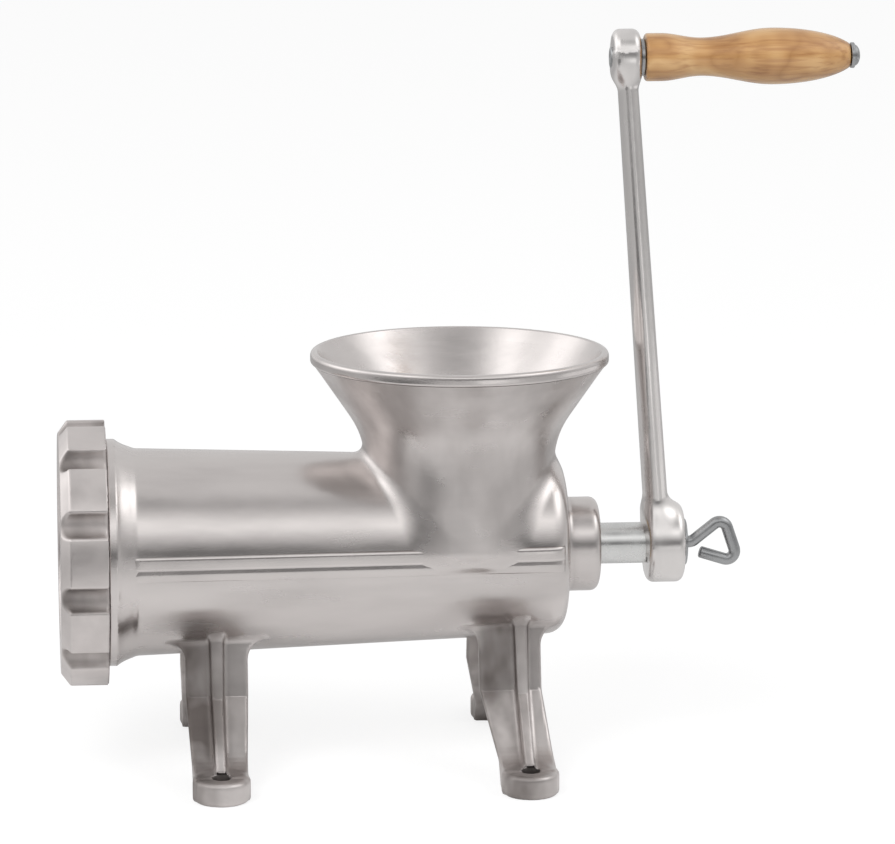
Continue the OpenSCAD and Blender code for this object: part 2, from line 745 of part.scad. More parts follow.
// Round wire along a line in the X-Z plane
module wire(line, d, sides) {
  last = len(line) - 1;
  points = concat(
    [for (i = [0:last])
      let (t = line[min(i + 1, last)] - line[max(i - 1, 0)], n = [-t[1], t[0]] / norm(t))
      for (k = [0:sides - 1]) let (a = 360 * k / sides)
        [line[i][0] + n[0] * cos(a) * d / 2, sin(a) * d / 2, line[i][1] + n[1] * cos(a) * d / 2]],
    [[line[0][0], 0, line[0][1]], [line[last][0], 0, line[last][1]]]
  );
  middle = (last + 1) * sides;
  faces = concat(
    [for (i = [0:last - 1]) for (k = [0:sides - 1]) let (m = (k + 1) % sides)
      [i * sides + k, i * sides + m, (i + 1) * sides + m]],
    [for (i = [0:last - 1]) for (k = [0:sides - 1]) let (m = (k + 1) % sides)
      [i * sides + k, (i + 1) * sides + m, (i + 1) * sides + k]],
    [for (k = [0:sides - 1]) [middle, (k + 1) % sides, k]],
    [for (k = [0:sides - 1]) [middle + 1, last * sides + k, last * sides + (k + 1) % sides]]
  );
  polyhedron(points, faces);
}

// A shank in the shaft's end whose wire is bent into a three-cornered loop, open where the end stops short
module thumb_screw() {
  wire_sides = 12;
  top_corner = [loop_top_s, loop_top];
  low_corner = [loop_l, -loop_low];
  free_end = [wire_d + edge_bevel, 2 * running_gap - wire_d];
  corners = [[-screw_d / 2, 0], [wire_d / 2, 0], top_corner, low_corner, free_end];
  color("gray") {
    on_axis(screw_tip_x, loop_x - screw_tip_x, screw_d);
    translate([loop_x, 0, axis_height])
      wire(rounded_line(corners, bend_r, corner_steps), wire_d, wire_sides);
  }
}

module grip_spindle() {
  dome_steps = 6;
  rivet_r = rivet_d / 2;
  color("gray") {
    on_grip(grip_boss_x, spindle_end_x - grip_boss_x, spindle_d);
    on_grip(grip_boss_x - rivet_head_h, rivet_head_h, rivet_d);
    translate([0, 0, crank_throw]) across(spindle_end_x) rotate_extrude() polygon(concat(
      [[0, 0]],
      [for (i = [0:dome_steps]) [rivet_r * cos(90 * i / dome_steps), rivet_h * sin(90 * i / dome_steps)]]
    ));
  }
}

module inner_grip_washer() {
  color("darkgray")
    on_grip(grip_boss_end_x + running_gap, grip_washer_t, inner_washer_d, spindle_d + 2 * running_gap);
}

module outer_grip_washer() {
  color("darkgray") on_grip(outer_washer_x, grip_washer_t, outer_washer_d, spindle_d + 2 * seat_clearance);
}

// Radius of the turned grip at a distance from the crank: collar, waist, belly and nose
function ease(a, b, t) = a + (b - a) * (1 - cos(180 * t)) / 2;
function grip_r(s) =
  let (collar = grip_collar_d / 2, waist = grip_waist_d / 2, belly = grip_belly_d / 2,
       nose = (grip_l - belly_s) / sqrt(1 - pow(grip_end_d / grip_belly_d, 2)))
  s < collar_l ? collar :
  s < waist_s ? ease(collar, waist, (s - collar_l) / (waist_s - collar_l)) :
  s < belly_s ? ease(waist, belly, (s - waist_s) / (belly_s - waist_s)) :
  belly * sqrt(1 - pow((s - belly_s) / nose, 2));

module handle_grip() {
  steps = 30;
  bore_r = spindle_d / 2 + turning_clearance;
  color("burlywood") translate([0, 0, crank_throw]) across(grip_x) rotate_extrude() polygon(concat(
    [[bore_r, 0], [grip_r(0) - edge_bevel, 0], [grip_r(0), edge_bevel]],
    [for (i = [0:steps]) let (s = collar_l + (grip_l - collar_l) * i / steps) [grip_r(s), s]],
    [[bore_r, grip_l]]
  ));
}

grinder_body();
rear_bush();
thrust_washer();
plate_key_pin();
ring_nut();
grinding_plate();
knife();
knife_stud();
auger_worm();
drive_shaft();
crank_arm();
crank_washer();
thumb_screw();
grip_spindle();
inner_grip_washer();
outer_grip_washer();
handle_grip();
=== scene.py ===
"""Looks of a hand-cranked meat grinder: tinned castings, turned steel and a lacquered wooden grip.

Pieces are modelled in millimetres in the frame's own axes and scaled to metres when their mesh is made.
"""

import json
import math

import bpy
import numpy as np
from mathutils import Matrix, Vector


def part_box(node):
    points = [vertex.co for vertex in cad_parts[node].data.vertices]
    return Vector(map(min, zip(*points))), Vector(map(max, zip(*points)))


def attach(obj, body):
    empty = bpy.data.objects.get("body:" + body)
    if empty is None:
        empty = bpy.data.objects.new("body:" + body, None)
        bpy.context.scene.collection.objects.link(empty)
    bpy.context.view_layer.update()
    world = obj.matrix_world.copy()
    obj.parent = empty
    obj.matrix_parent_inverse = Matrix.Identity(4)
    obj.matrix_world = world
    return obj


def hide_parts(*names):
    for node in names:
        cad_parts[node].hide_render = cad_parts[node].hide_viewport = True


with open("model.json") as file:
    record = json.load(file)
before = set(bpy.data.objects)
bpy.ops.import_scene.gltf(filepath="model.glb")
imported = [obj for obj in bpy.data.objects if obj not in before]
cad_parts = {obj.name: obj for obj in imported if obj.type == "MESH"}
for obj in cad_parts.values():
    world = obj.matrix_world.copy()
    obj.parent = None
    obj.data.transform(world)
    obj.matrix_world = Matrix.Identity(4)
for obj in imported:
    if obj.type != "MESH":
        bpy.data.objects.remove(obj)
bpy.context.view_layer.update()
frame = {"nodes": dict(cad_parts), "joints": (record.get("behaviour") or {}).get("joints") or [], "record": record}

MM = 0.001


# Places and sizes that come from the frame

def box_mm(node):
    """Lowest and highest corner of a node of the frame, in millimetres."""
    low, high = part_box(node)
    return np.array(low) / MM, np.array(high) / MM


body_low, body_high = box_mm("grinder_body")
ring_low, ring_high = box_mm("ring_nut")
worm_low, worm_high = box_mm("auger_worm")
shaft_low, shaft_high = box_mm("drive_shaft")
crank_low, crank_high = box_mm("crank_arm")
screw_low = box_mm("thumb_screw")[0]
washer_high = box_mm("crank_washer")[1]
grip_low, grip_high = box_mm("handle_grip")
spindle_low, spindle_high = box_mm("grip_spindle")
joints = {joint["name"]: joint for joint in frame["joints"]}
bolt_dims = frame["record"]["mounts"][0]["dims"]

AXIS_Z = joints["crank_turn"]["pos_m"][2] / MM
CRANK_Z = joints["grip_spin"]["pos_m"][2] / MM
BOLT_X = bolt_dims["spacing_x_mm"] / 2
BOLT_Y = bolt_dims["spacing_y_mm"] / 2
BOLT_HOLE_R = bolt_dims["hole_r_mm"]

# Sizes of the casting's barrel
BARREL_FRONT_R = 53.75
BARREL_REAR_R = 46.3
BARREL_L = 229
BARREL_WALL = 6.5
REAR_WALL = 14
REAR_ROUND = 10
NECK_L = 14.1
NECK_R = 55.75
FLANGE_T = 7.4
FLANGE_R = 58.5
SHOULDER_L = 6.5
MOUTH_R = 49.75
MOUTH_RECESS = 2
BOSS_R = 24.4
BOSS_L = 18
BOSS_ROUND = 4.5
BOSS_FILLET = 3.5
FLANGE_FILLET = 4
FLANGE_EDGE = 0.8
BORE_EDGE = 0.9
BUSH_R = 14.05

# Sizes of the thread between its neck and the ring nut
THREAD_DEPTH = 1.5
THREAD_PITCH = 4
THREAD_GAP = 0.15
THREAD_SINK = 0.3
THREAD_SHORT = 5
NECK_THREAD_START = 3
RING_THREAD_START = 2.5

# Sizes of its hopper
HOPPER_FROM_REAR = 53.8
HOPPER_NECK_R = 47.9
HOPPER_BEND_R = 54
HOPPER_FLARE_H = 40
HOPPER_WALL = 5
RIM_R = 76.9
LIP_H = 6
LIP_OVERHANG = 1.4
LIP_COVER = 1
LIP_SKIRT = 10
TONGUE_HALF_L = 44
TONGUE_HALF_W = 51.2
TONGUE_LOW_H = 5
TONGUE_TOP_H = 90
TONGUE_EDGE = 1.5
TONGUE_BLEND = 9
HOPPER_FILLET = 6

# Sizes of its legs
LEG_SEAT_ANGLE = math.radians(41)
LEG_W = 32
WEB_T = 7
RIB_TOP_T = 7
RIB_FOOT_T = 4.5
RIB_DEPTH = 6.5
KNEE_Y = 39
KNEE_Z = 43.5
SHIN_ROUND = 30
SHIN_INSET = 1.5
RIB_SINK = 1
FOOT_W = 28
FOOT_T = 12
LEG_FILLET = 11
LEG_SEAT_FILLET = 2.5
WEB_EDGE = 1.6
RIB_EDGE = 1.2
RIB_FILLET = 2.5
PAD_EDGE = 2.6
PAD_BLEND = 3
BOLT_HOLE_EDGE = 0.6
REAR_LEG_LEAN = 5.5

mouth_x = body_low[0]
flange_x = mouth_x + NECK_L
barrel_x = flange_x + FLANGE_T
rear_x = barrel_x + BARREL_L
boss_x = rear_x + BOSS_L
inner_rear_x = rear_x - REAR_WALL
hopper_x = rear_x - HOPPER_FROM_REAR
rim_h = body_high[2] - AXIS_Z

# Far enough past a face or an axis that a cut or an outline has no effect there
FAR = 60

# How far a cut runs past the face that it opens
CUT_PAST = 1


# Distance functions: negative inside, in millimetres

def polygon(x, y, corners):
    """Signed distance in a plane to a closed outline."""
    nearest = np.full(x.shape, np.inf)
    inside = np.zeros(x.shape, bool)
    for (ax, ay), (bx, by) in zip(corners, corners[1:] + corners[:1]):
        ex, ey = bx - ax, by - ay
        wx, wy = x - ax, y - ay
        along = np.clip((wx * ex + wy * ey) / (ex * ex + ey * ey), 0, 1)
        nearest = np.minimum(nearest, (wx - ex * along) ** 2 + (wy - ey * along) ** 2)
        if ey:
            inside ^= ((ay > y) != (by > y)) & (wx < wy * ex / ey)
    return np.where(inside, -1, 1) * np.sqrt(nearest)


def band(value, low, high):
    """Distance to what lies between two parallel planes."""
    return np.maximum(low - value, value - high)


def union(a, b, r):
    """Two forms joined with a fillet of radius r."""
    blend = np.hypot(np.maximum(r - a, 0), np.maximum(r - b, 0))
    return np.maximum(r, np.minimum(a, b)) - blend


def melted(a, b, reach):
    """Two forms joined so softly that no line shows between them."""
    near = np.maximum(reach - np.abs(a - b), 0) / reach
    return np.minimum(a, b) - near ** 2 * reach / 4


def common(a, b, r):
    """What two forms share, with its edge rounded to radius r."""
    blend = np.hypot(np.maximum(r + a, 0), np.maximum(r + b, 0))
    return np.minimum(-r, np.maximum(a, b)) + blend


def ellipse(x, y, a, b):
    """Distance to an oval, true near its edge."""
    level = np.maximum(np.hypot(x / a, y / b), 1e-6)
    slope = np.hypot(x / a ** 2, y / b ** 2) / level
    return (level - 1) / np.maximum(slope, 1e-6)


def drum(x, r, x0, x1, radius, rounding):
    """Distance to a drum on an axis along X, where r is the distance from that axis."""
    return common(band(x, x0, x1), r - radius, rounding)


def arc(middle, r, start, end, steps=10):
    """Points along an arc, with its angles in degrees."""
    angles = np.radians(np.linspace(start, end, steps + 1))
    return [(middle[0] + r * math.cos(a), middle[1] + r * math.sin(a)) for a in angles]


# Meshes from distance functions

CORNERS = [(i, j, k) for i in (0, 1) for j in (0, 1) for k in (0, 1)]
PAIRS = [(a, b) for a in range(len(CORNERS)) for b in range(a)]
EDGES = [(a, b) for a, b in PAIRS if sum(p != q for p, q in zip(CORNERS[a], CORNERS[b])) == 1]
COARSE = 4


def sampled(distance, low, high, cell):
    """Distances on a grid: rough far from the surface and exact near it."""
    axes = [np.arange(a, b + cell, cell) for a, b in zip(low, high)]
    field = distance(*np.meshgrid(*[axis[::COARSE] for axis in axes], indexing="ij"))
    for i, axis in enumerate(axes):
        field = np.take(field.repeat(COARSE, i), np.arange(len(axis)), i)
    near = np.nonzero(np.abs(field) < 2 * COARSE * cell)
    field[near] = distance(*[axis[i] for axis, i in zip(axes, near)])
    return field


def outward(points, distance, step=0.05):
    """Unit vectors that point out of a form."""
    slopes = []
    for offset in np.eye(3) * step:
        slopes.append(distance(*(points + offset).T) - distance(*(points - offset).T))
    slopes = np.stack(slopes, 1)
    return slopes / np.maximum(np.linalg.norm(slopes, axis=1, keepdims=True), 1e-9)


def skin(distance, low, high, cell, rounds=2):
    """Points, faces and normals of a form's surface, with one point in each grid cell that it crosses."""
    low = np.array(low, float) - 3 * cell
    high = np.array(high, float) + 3 * cell
    field = sampled(distance, low, high, cell)
    inside = field < 0
    nx, ny, nz = np.array(field.shape) - 1
    filled = sum(inside[i:i + nx, j:j + ny, k:k + nz].astype(int) for i, j, k in CORNERS)
    cells = np.argwhere((filled > 0) & (filled < len(CORNERS)))
    index = np.full((nx, ny, nz), -1)
    index[tuple(cells.T)] = np.arange(len(cells))
    values = np.stack([field[tuple((cells + corner).T)] for corner in CORNERS], 1)
    total = np.zeros((len(cells), 3))
    hits = np.zeros(len(cells))
    for a, b in EDGES:
        crossed = np.nonzero((values[:, a] < 0) != (values[:, b] < 0))[0]
        share = values[crossed, a] / (values[crossed, a] - values[crossed, b])
        start = np.array(CORNERS[a])
        total[crossed] += start + share[:, None] * (np.array(CORNERS[b]) - start)
        hits[crossed] += 1
    points = low + cell * (cells + total / hits[:, None])
    faces = []
    for axis in range(3):
        u, v = np.roll(np.eye(3, dtype=int), -axis, 0)[1:]
        ends = np.roll(inside, -1, axis)
        crossed = np.argwhere(inside != ends)
        around = (crossed - u - v, crossed - v, crossed, crossed - u)
        ring = np.stack([index[tuple(at.T)] for at in around], 1)
        leaves = inside[tuple(crossed.T)]
        faces += [ring[leaves], ring[~leaves][:, ::-1]]
    for _ in range(rounds):
        points -= distance(*points.T)[:, None] * outward(points, distance)
    return points, np.concatenate(faces), outward(points, distance)


# Objects

def piece(name, points, faces, material, body, replaced=(), normals=None):
    """A mesh of the object, made from millimetres, riding on a body of the frame."""
    mesh = bpy.data.meshes.new(name)
    mesh.from_pydata(np.asarray(points, float) * MM, [], faces)
    mesh.polygons.foreach_set("use_smooth", np.ones(len(mesh.polygons), bool))
    if normals is not None:
        mesh.normals_split_custom_set_from_vertices(normals)
    mesh.update()
    obj = bpy.data.objects.new(name, mesh)
    bpy.context.scene.collection.objects.link(obj)
    obj.data.materials.append(material)
    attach(obj, body)
    if replaced:
        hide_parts(*replaced)
    return obj


def loop_faces(rings, sides, closed=False):
    """Quads between rings of points, each ring with the same number of points."""
    faces = []
    for i in range(rings if closed else rings - 1):
        a, b = i * sides, (i + 1) % rings * sides
        for k in range(sides):
            m = (k + 1) % sides
            faces.append((a + k, a + m, b + m, b + k))
    return faces


def capped_faces(rings, sides):
    """Quads of a tube with both ends closed."""
    last = (rings - 1) * sides
    caps = [tuple(range(sides))[::-1], tuple(range(last, last + sides))]
    return loop_faces(rings, sides) + caps


# Least radius of a turned outline, which keeps its points apart on the axis
ON_AXIS = 0.01


def lathe(outline, z, segments=96):
    """Points and faces of a closed outline of (x, r) turned about an axis along X at a height."""
    points = []
    for angle in np.linspace(0, 2 * math.pi, segments, endpoint=False):
        points += [(x, r * math.cos(angle), z + r * math.sin(angle)) for x, r in outline]
    return points, loop_faces(segments, len(outline), closed=True)


def rounded(corners, r, steps=4):
    """A closed outline with every corner rounded, or with a radius for each corner."""
    out = []
    radii = r if isinstance(r, (list, tuple)) else [r] * len(corners)
    for i, here in enumerate(np.array(corners, float)):
        before = np.array(corners[i - 1], float) - here
        after = np.array(corners[(i + 1) % len(corners)], float) - here
        if not radii[i]:
            out.append(tuple(here))
            continue
        reach = [before / np.linalg.norm(before), after / np.linalg.norm(after)]
        half = math.acos(np.clip(reach[0] @ reach[1], -1, 1)) / 2
        length = radii[i] / math.tan(half)
        start, end = here + reach[0] * length, here + reach[1] * length
        for t in np.linspace(0, 1, steps + 1):
            out.append(tuple((1 - t) ** 2 * start + 2 * t * (1 - t) * here + t ** 2 * end))
    return out


def helix(x, turns, pitch, root_r, crest_r, z, steps):
    """Points and faces of a screw thread's ridge, fading out at both ends, right-handed along +X."""
    root_half, crest_half = 0.42, 0.12
    least_fade, fade_per_turn = 0.05, 6
    count = int(turns * steps) + 1
    points = []
    for i in range(count):
        turn = i / steps
        fade = min(1, fade_per_turn * min(turn, turns - turn) + least_fade)
        top = root_r + (crest_r - root_r) * fade
        ridge = ((-root_half, root_r), (-crest_half, top), (crest_half, top), (root_half, root_r))
        for offset, r in ridge:
            angle = 2 * math.pi * turn
            at = x + (turn + offset) * pitch
            points.append((at, r * math.cos(angle), z + r * math.sin(angle)))
    return points, capped_faces(count, len(ridge))


# Materials

def node(tree, kind, inputs=None, **settings):
    """A shader node with its settings and its inputs, which are values or other nodes' outputs."""
    made = tree.nodes.new("ShaderNode" + kind)
    for key, value in settings.items():
        setattr(made, key, value)
    for socket, value in (inputs or {}).items():
        if isinstance(value, bpy.types.NodeSocket):
            tree.links.new(value, made.inputs[socket])
        else:
            made.inputs[socket].default_value = value
    return made


def ramp(tree, factor, stops):
    """Colour that runs through stops of (place, colour)."""
    made = node(tree, "ValToRGB", {"Fac": factor})
    elements = made.color_ramp.elements
    while len(elements) < len(stops):
        elements.new(0.5)
    for element, (place, colour) in zip(elements, stops):
        element.position = place
        element.color = (*colour, 1)
    return made.outputs["Color"]


def scaled(tree, value, low, high, start=0.0, end=1.0):
    """A number carried from one range to another."""
    limits = {"Value": value, "From Min": start, "From Max": end, "To Min": low, "To Max": high}
    return node(tree, "MapRange", limits).outputs["Result"]


def noise(tree, coords, scale, detail, stretch=(1, 1, 1)):
    """Soft noise over the object, stretched along an axis by a scale under 1."""
    vector = node(tree, "Mapping", {"Vector": coords, "Scale": stretch}).outputs["Vector"]
    return node(tree, "TexNoise", {"Vector": vector, "Scale": scale, "Detail": detail}).outputs["Fac"]


# Places of the colour sockets on a mix node, where each kind of data has sockets of the same names
MIX_A, MIX_B, MIX_OUT = 6, 7, 2


def multiplied(tree, a, b):
    """Two colours multiplied."""
    made = node(tree, "Mix", data_type="RGBA", blend_type="MULTIPLY")
    made.inputs["Factor"].default_value = 1
    tree.links.new(a, made.inputs[MIX_A])
    tree.links.new(b, made.inputs[MIX_B])
    return made.outputs[MIX_OUT]


def tinted(colour, level):
    """A colour made lighter or darker."""
    return tuple(min(1, c * level) for c in colour)


# Name of the mesh attribute that tells how unpolished a casting is, 0 where it is polished; on the legs and in the
# ring's notches it also carries painted shade
RAW_AND_SHADED = "raw_and_shaded"


def new_material(name):
    """An empty principled material, with its tree, its shader and its object coordinates."""
    material = bpy.data.materials.new(name)
    material.use_nodes = True
    tree = material.node_tree
    coords = node(tree, "TexCoord").outputs["Object"]
    return material, tree, tree.nodes["Principled BSDF"], coords


def cast_metal(name, colour, roughness, wave, grain, streak=(1, 1, 1)):
    """Tinned cast iron: blotchy tin, painted shade darkening its corners, soft waves, a fine grain, and dull where
    raw, which also carries painted shade on the legs and in the ring's notches.
    """
    material, tree, shader, coords = new_material(name)
    blotch = noise(tree, coords, scale=38, detail=4, stretch=streak)
    tone = ramp(tree, blotch, [(0.3, tinted(colour, 0.87)), (0.5, colour), (0.72, tinted(colour, 1.08))])
    # Painted shade: ambient occlusion darkens the colour in corners and along the ledge's groove, where shade
    # falls.
    for reach, dark in ((0.009, 0.25), (0.0025, 0.4)):
        hollow = node(tree, "AmbientOcclusion", {"Distance": reach}, samples=6, only_local=True)
        corner_shade = ramp(tree, hollow.outputs["AO"], [(dark, (0.3, 0.27, 0.26)), (0.8, (1, 1, 1))])
        tone = multiplied(tree, tone, corner_shade)
    raw_and_shaded = node(tree, "Attribute", attribute_name=RAW_AND_SHADED).outputs["Fac"]
    spots = noise(tree, coords, scale=34, detail=3, stretch=(1, 1, 0.5))
    stain = scaled(tree, spots, low=0.72, high=0.06, start=0.36, end=0.62)
    dull_and_shaded = node(tree, "Math", {0: raw_and_shaded, 1: stain}, operation="MULTIPLY").outputs["Value"]
    # Painted shade, partly: the attribute darkens the colour as raw casting skin, and as painted shade on the legs
    # and in the ring's notches.
    unpolished_and_shaded = ramp(tree, dull_and_shaded, [(0.0, (1, 1, 1)), (1.0, (0.3, 0.28, 0.27))])
    tree.links.new(multiplied(tree, tone, unpolished_and_shaded), shader.inputs["Base Color"])
    smear = noise(tree, coords, scale=90, detail=5, stretch=streak)
    polished = scaled(tree, smear, roughness - 0.07, roughness + 0.09, start=0.25, end=0.75)
    gloss = node(tree, "Math", {0: raw_and_shaded, 1: 0.2, 2: polished}, operation="MULTIPLY_ADD").outputs["Value"]
    tree.links.new(gloss, shader.inputs["Roughness"])
    swell = noise(tree, coords, scale=55, detail=2)
    soft = node(tree, "Bump", {"Height": swell, "Strength": wave, "Distance": 0.0012}).outputs["Normal"]
    sand = noise(tree, coords, scale=1500, detail=3)
    rough = node(tree, "Bump", {"Height": sand, "Strength": grain, "Distance": 0.00012, "Normal": soft})
    tree.links.new(rough.outputs["Normal"], shader.inputs["Normal"])
    shader.inputs["Metallic"].default_value = 1
    return material


def machined_metal(name, colour, roughness, grooves):
    """Turned or ground metal: fine lines round the axis along X and faint smears."""
    material, tree, shader, coords = new_material(name)
    lines = noise(tree, coords, scale=grooves, detail=2, stretch=(1, 0.02, 0.02))
    smear = noise(tree, coords, scale=70, detail=4)
    tone = ramp(tree, smear, [(0.3, tinted(colour, 0.86)), (0.7, tinted(colour, 1.06))])
    tree.links.new(tone, shader.inputs["Base Color"])
    gloss = scaled(tree, smear, roughness - 0.06, roughness + 0.1, start=0.3, end=0.7)
    tree.links.new(gloss, shader.inputs["Roughness"])
    bump = node(tree, "Bump", {"Height": lines, "Strength": 0.35, "Distance": 0.00006})
    tree.links.new(bump.outputs["Normal"], shader.inputs["Normal"])
    shader.inputs["Metallic"].default_value = 1
    return material


def wood(name):
    """Honey-coloured turned wood under clear lacquer, with its grain along X."""
    material, tree, shader, coords = new_material(name)
    warp = noise(tree, coords, scale=30, detail=3, stretch=(0.18, 1, 1))
    fibre = noise(tree, coords, scale=420, detail=4, stretch=(0.03, 1, 1))
    figure = node(tree, "TexNoise", {"Vector": coords, "Scale": 26.0, "Detail": 2.0}).outputs["Fac"]
    rings = node(tree, "Math", {0: warp, 1: figure}, operation="ADD").outputs["Value"]
    cycle = node(tree, "Math", {0: rings, 1: 7.0}, operation="MULTIPLY").outputs["Value"]
    grain = node(tree, "Math", {0: cycle, 1: 1.0}, operation="PINGPONG").outputs["Value"]
    stops = [(0.0, (0.4, 0.195, 0.06)), (0.45, (0.51, 0.275, 0.098)), (1.0, (0.62, 0.375, 0.16))]
    tone = ramp(tree, grain, stops)
    pores = ramp(tree, fibre, [(0.3, (0.72, 0.62, 0.52)), (0.52, (1, 1, 1))])
    tree.links.new(multiplied(tree, tone, pores), shader.inputs["Base Color"])
    tree.links.new(scaled(tree, fibre, low=0.34, high=0.5), shader.inputs["Roughness"])
    bump = node(tree, "Bump", {"Height": fibre, "Strength": 0.12, "Distance": 0.0002})
    tree.links.new(bump.outputs["Normal"], shader.inputs["Normal"])
    shader.inputs["Coat Weight"].default_value = 0.9
    shader.inputs["Coat Roughness"].default_value = 0.22
    return material


tin = cast_metal(
    "tinned_casting", (0.675, 0.635, 0.62), roughness=0.22, wave=0.13, grain=0.28, streak=(0.25, 1, 1))
ring_tin = cast_metal("tinned_ring", (0.69, 0.645, 0.63), roughness=0.34, wave=0.3, grain=0.35)
crank_tin = cast_metal(
    "tinned_crank", (0.81, 0.78, 0.765), roughness=0.23, wave=0.16, grain=0.2, streak=(1, 1, 0.2))
steel = machined_metal("turned_steel", (0.73, 0.73, 0.72), roughness=0.24, grooves=900)
cutter = machined_metal("ground_steel", (0.57, 0.57, 0.58), roughness=0.3, grooves=1400)
zinc = machined_metal("dull_zinc_steel", (0.42, 0.425, 0.43), roughness=0.3, grooves=700)
bronze = machined_metal("bush_bronze", (0.63, 0.43, 0.19), roughness=0.3, grooves=900)
honey = wood("lacquered_wood")


# The casting

def barrel_r(x):
    """Outer radius of the tapered barrel at a place along it."""
    return BARREL_FRONT_R + (BARREL_REAR_R - BARREL_FRONT_R) * (x - barrel_x) / BARREL_L


def hopper_outline(wall, top):
    """The hopper's neck, bend and cone as [distance from its axis, height over the barrel's axis]."""
    middle = np.array((HOPPER_NECK_R + HOPPER_BEND_R, HOPPER_FLARE_H))
    cone_top = np.array((RIM_R - LIP_OVERHANG, rim_h - LIP_H)) - middle
    to_tangent = math.acos(HOPPER_BEND_R / np.linalg.norm(cone_top))
    lean = math.pi - math.atan2(cone_top[1], cone_top[0]) - to_tangent
    bend = arc(middle, HOPPER_BEND_R + wall, 180, 180 - math.degrees(lean))
    end_r, end_h = bend[-1]
    top_r = end_r + (top - end_h) * math.tan(lean)
    return [(-FAR, 0), (HOPPER_NECK_R - wall, 0)] + bend + [(top_r, top), (-FAR, top)]


# Place of the feet and lean of the legs, at the front and at the rear
LEGS = ((-BOLT_X, 0), (BOLT_X, REAR_LEG_LEAN))


def leg_distance(x, y, z, foot_x, lean):
    """The two legs at one end of the barrel: web, rib and foot pad."""
    across = np.abs(y)
    along = x - foot_x
    seat_r = barrel_r(foot_x)
    seat_y = seat_r * math.sin(LEG_SEAT_ANGLE)
    seat_z = AXIS_Z - seat_r * math.cos(LEG_SEAT_ANGLE)
    top_z = seat_z + BARREL_WALL
    half, foot_half = LEG_W / 2, FOOT_W / 2
    heel_y = BOLT_Y - foot_half
    shin_y = heel_y - SHIN_INSET
    shin = rounded([(KNEE_Y, KNEE_Z), (shin_y, FOOT_T), (BOLT_Y, FOOT_T)], [0, SHIN_ROUND, 0], 8)
    web_side = polygon(across, z, [(seat_y, top_z), (seat_y, seat_z)] + shin + [
        (BOLT_Y, 0), (heel_y, 0), (KNEE_Y - WEB_T, KNEE_Z - WEB_T / 2), (seat_y - WEB_T, top_z),
    ])
    bend_z = seat_z - LEG_FILLET
    right = arc((half - lean + LEG_FILLET, bend_z), LEG_FILLET, 180, 100)
    left = arc((-half - lean - LEG_FILLET, bend_z), LEG_FILLET, 80, 0)
    web_front = polygon(along, z, [(foot_half, 0), (foot_half, FOOT_T), (half - lean, KNEE_Z)] + right + [
        (right[-1][0], top_z + LEG_W), (left[0][0], top_z + LEG_W),
    ] + left + [(-half - lean, KNEE_Z), (-foot_half, FOOT_T), (-foot_half, 0)])
    rib_y = seat_y + RIB_DEPTH / 2
    rib_low = FOOT_T - RIB_SINK
    rib_side = polygon(across, z, [
        (rib_y, top_z), (rib_y, seat_z), (KNEE_Y + RIB_DEPTH, KNEE_Z), (BOLT_Y, rib_low),
        (shin_y - WEB_T, rib_low), (KNEE_Y - WEB_T / 2, KNEE_Z - WEB_T / 2), (seat_y - WEB_T / 2, top_z),
    ])
    rib_half = RIB_FOOT_T / 2 + (RIB_TOP_T - RIB_FOOT_T) / 2 * z / top_z
    web = common(web_side, web_front, WEB_EDGE)
    rib = common(rib_side, np.abs(along) - rib_half, RIB_EDGE)
    pad = common(np.hypot(along, across - BOLT_Y) - foot_half, band(z, 0, FOOT_T), PAD_EDGE)
    leg = union(melted(web, pad, PAD_BLEND), rib, RIB_FILLET)
    hole = np.maximum(np.hypot(along, across - BOLT_Y) - BOLT_HOLE_R, z - FOOT_T - CUT_PAST)
    return np.maximum(leg, -z), hole


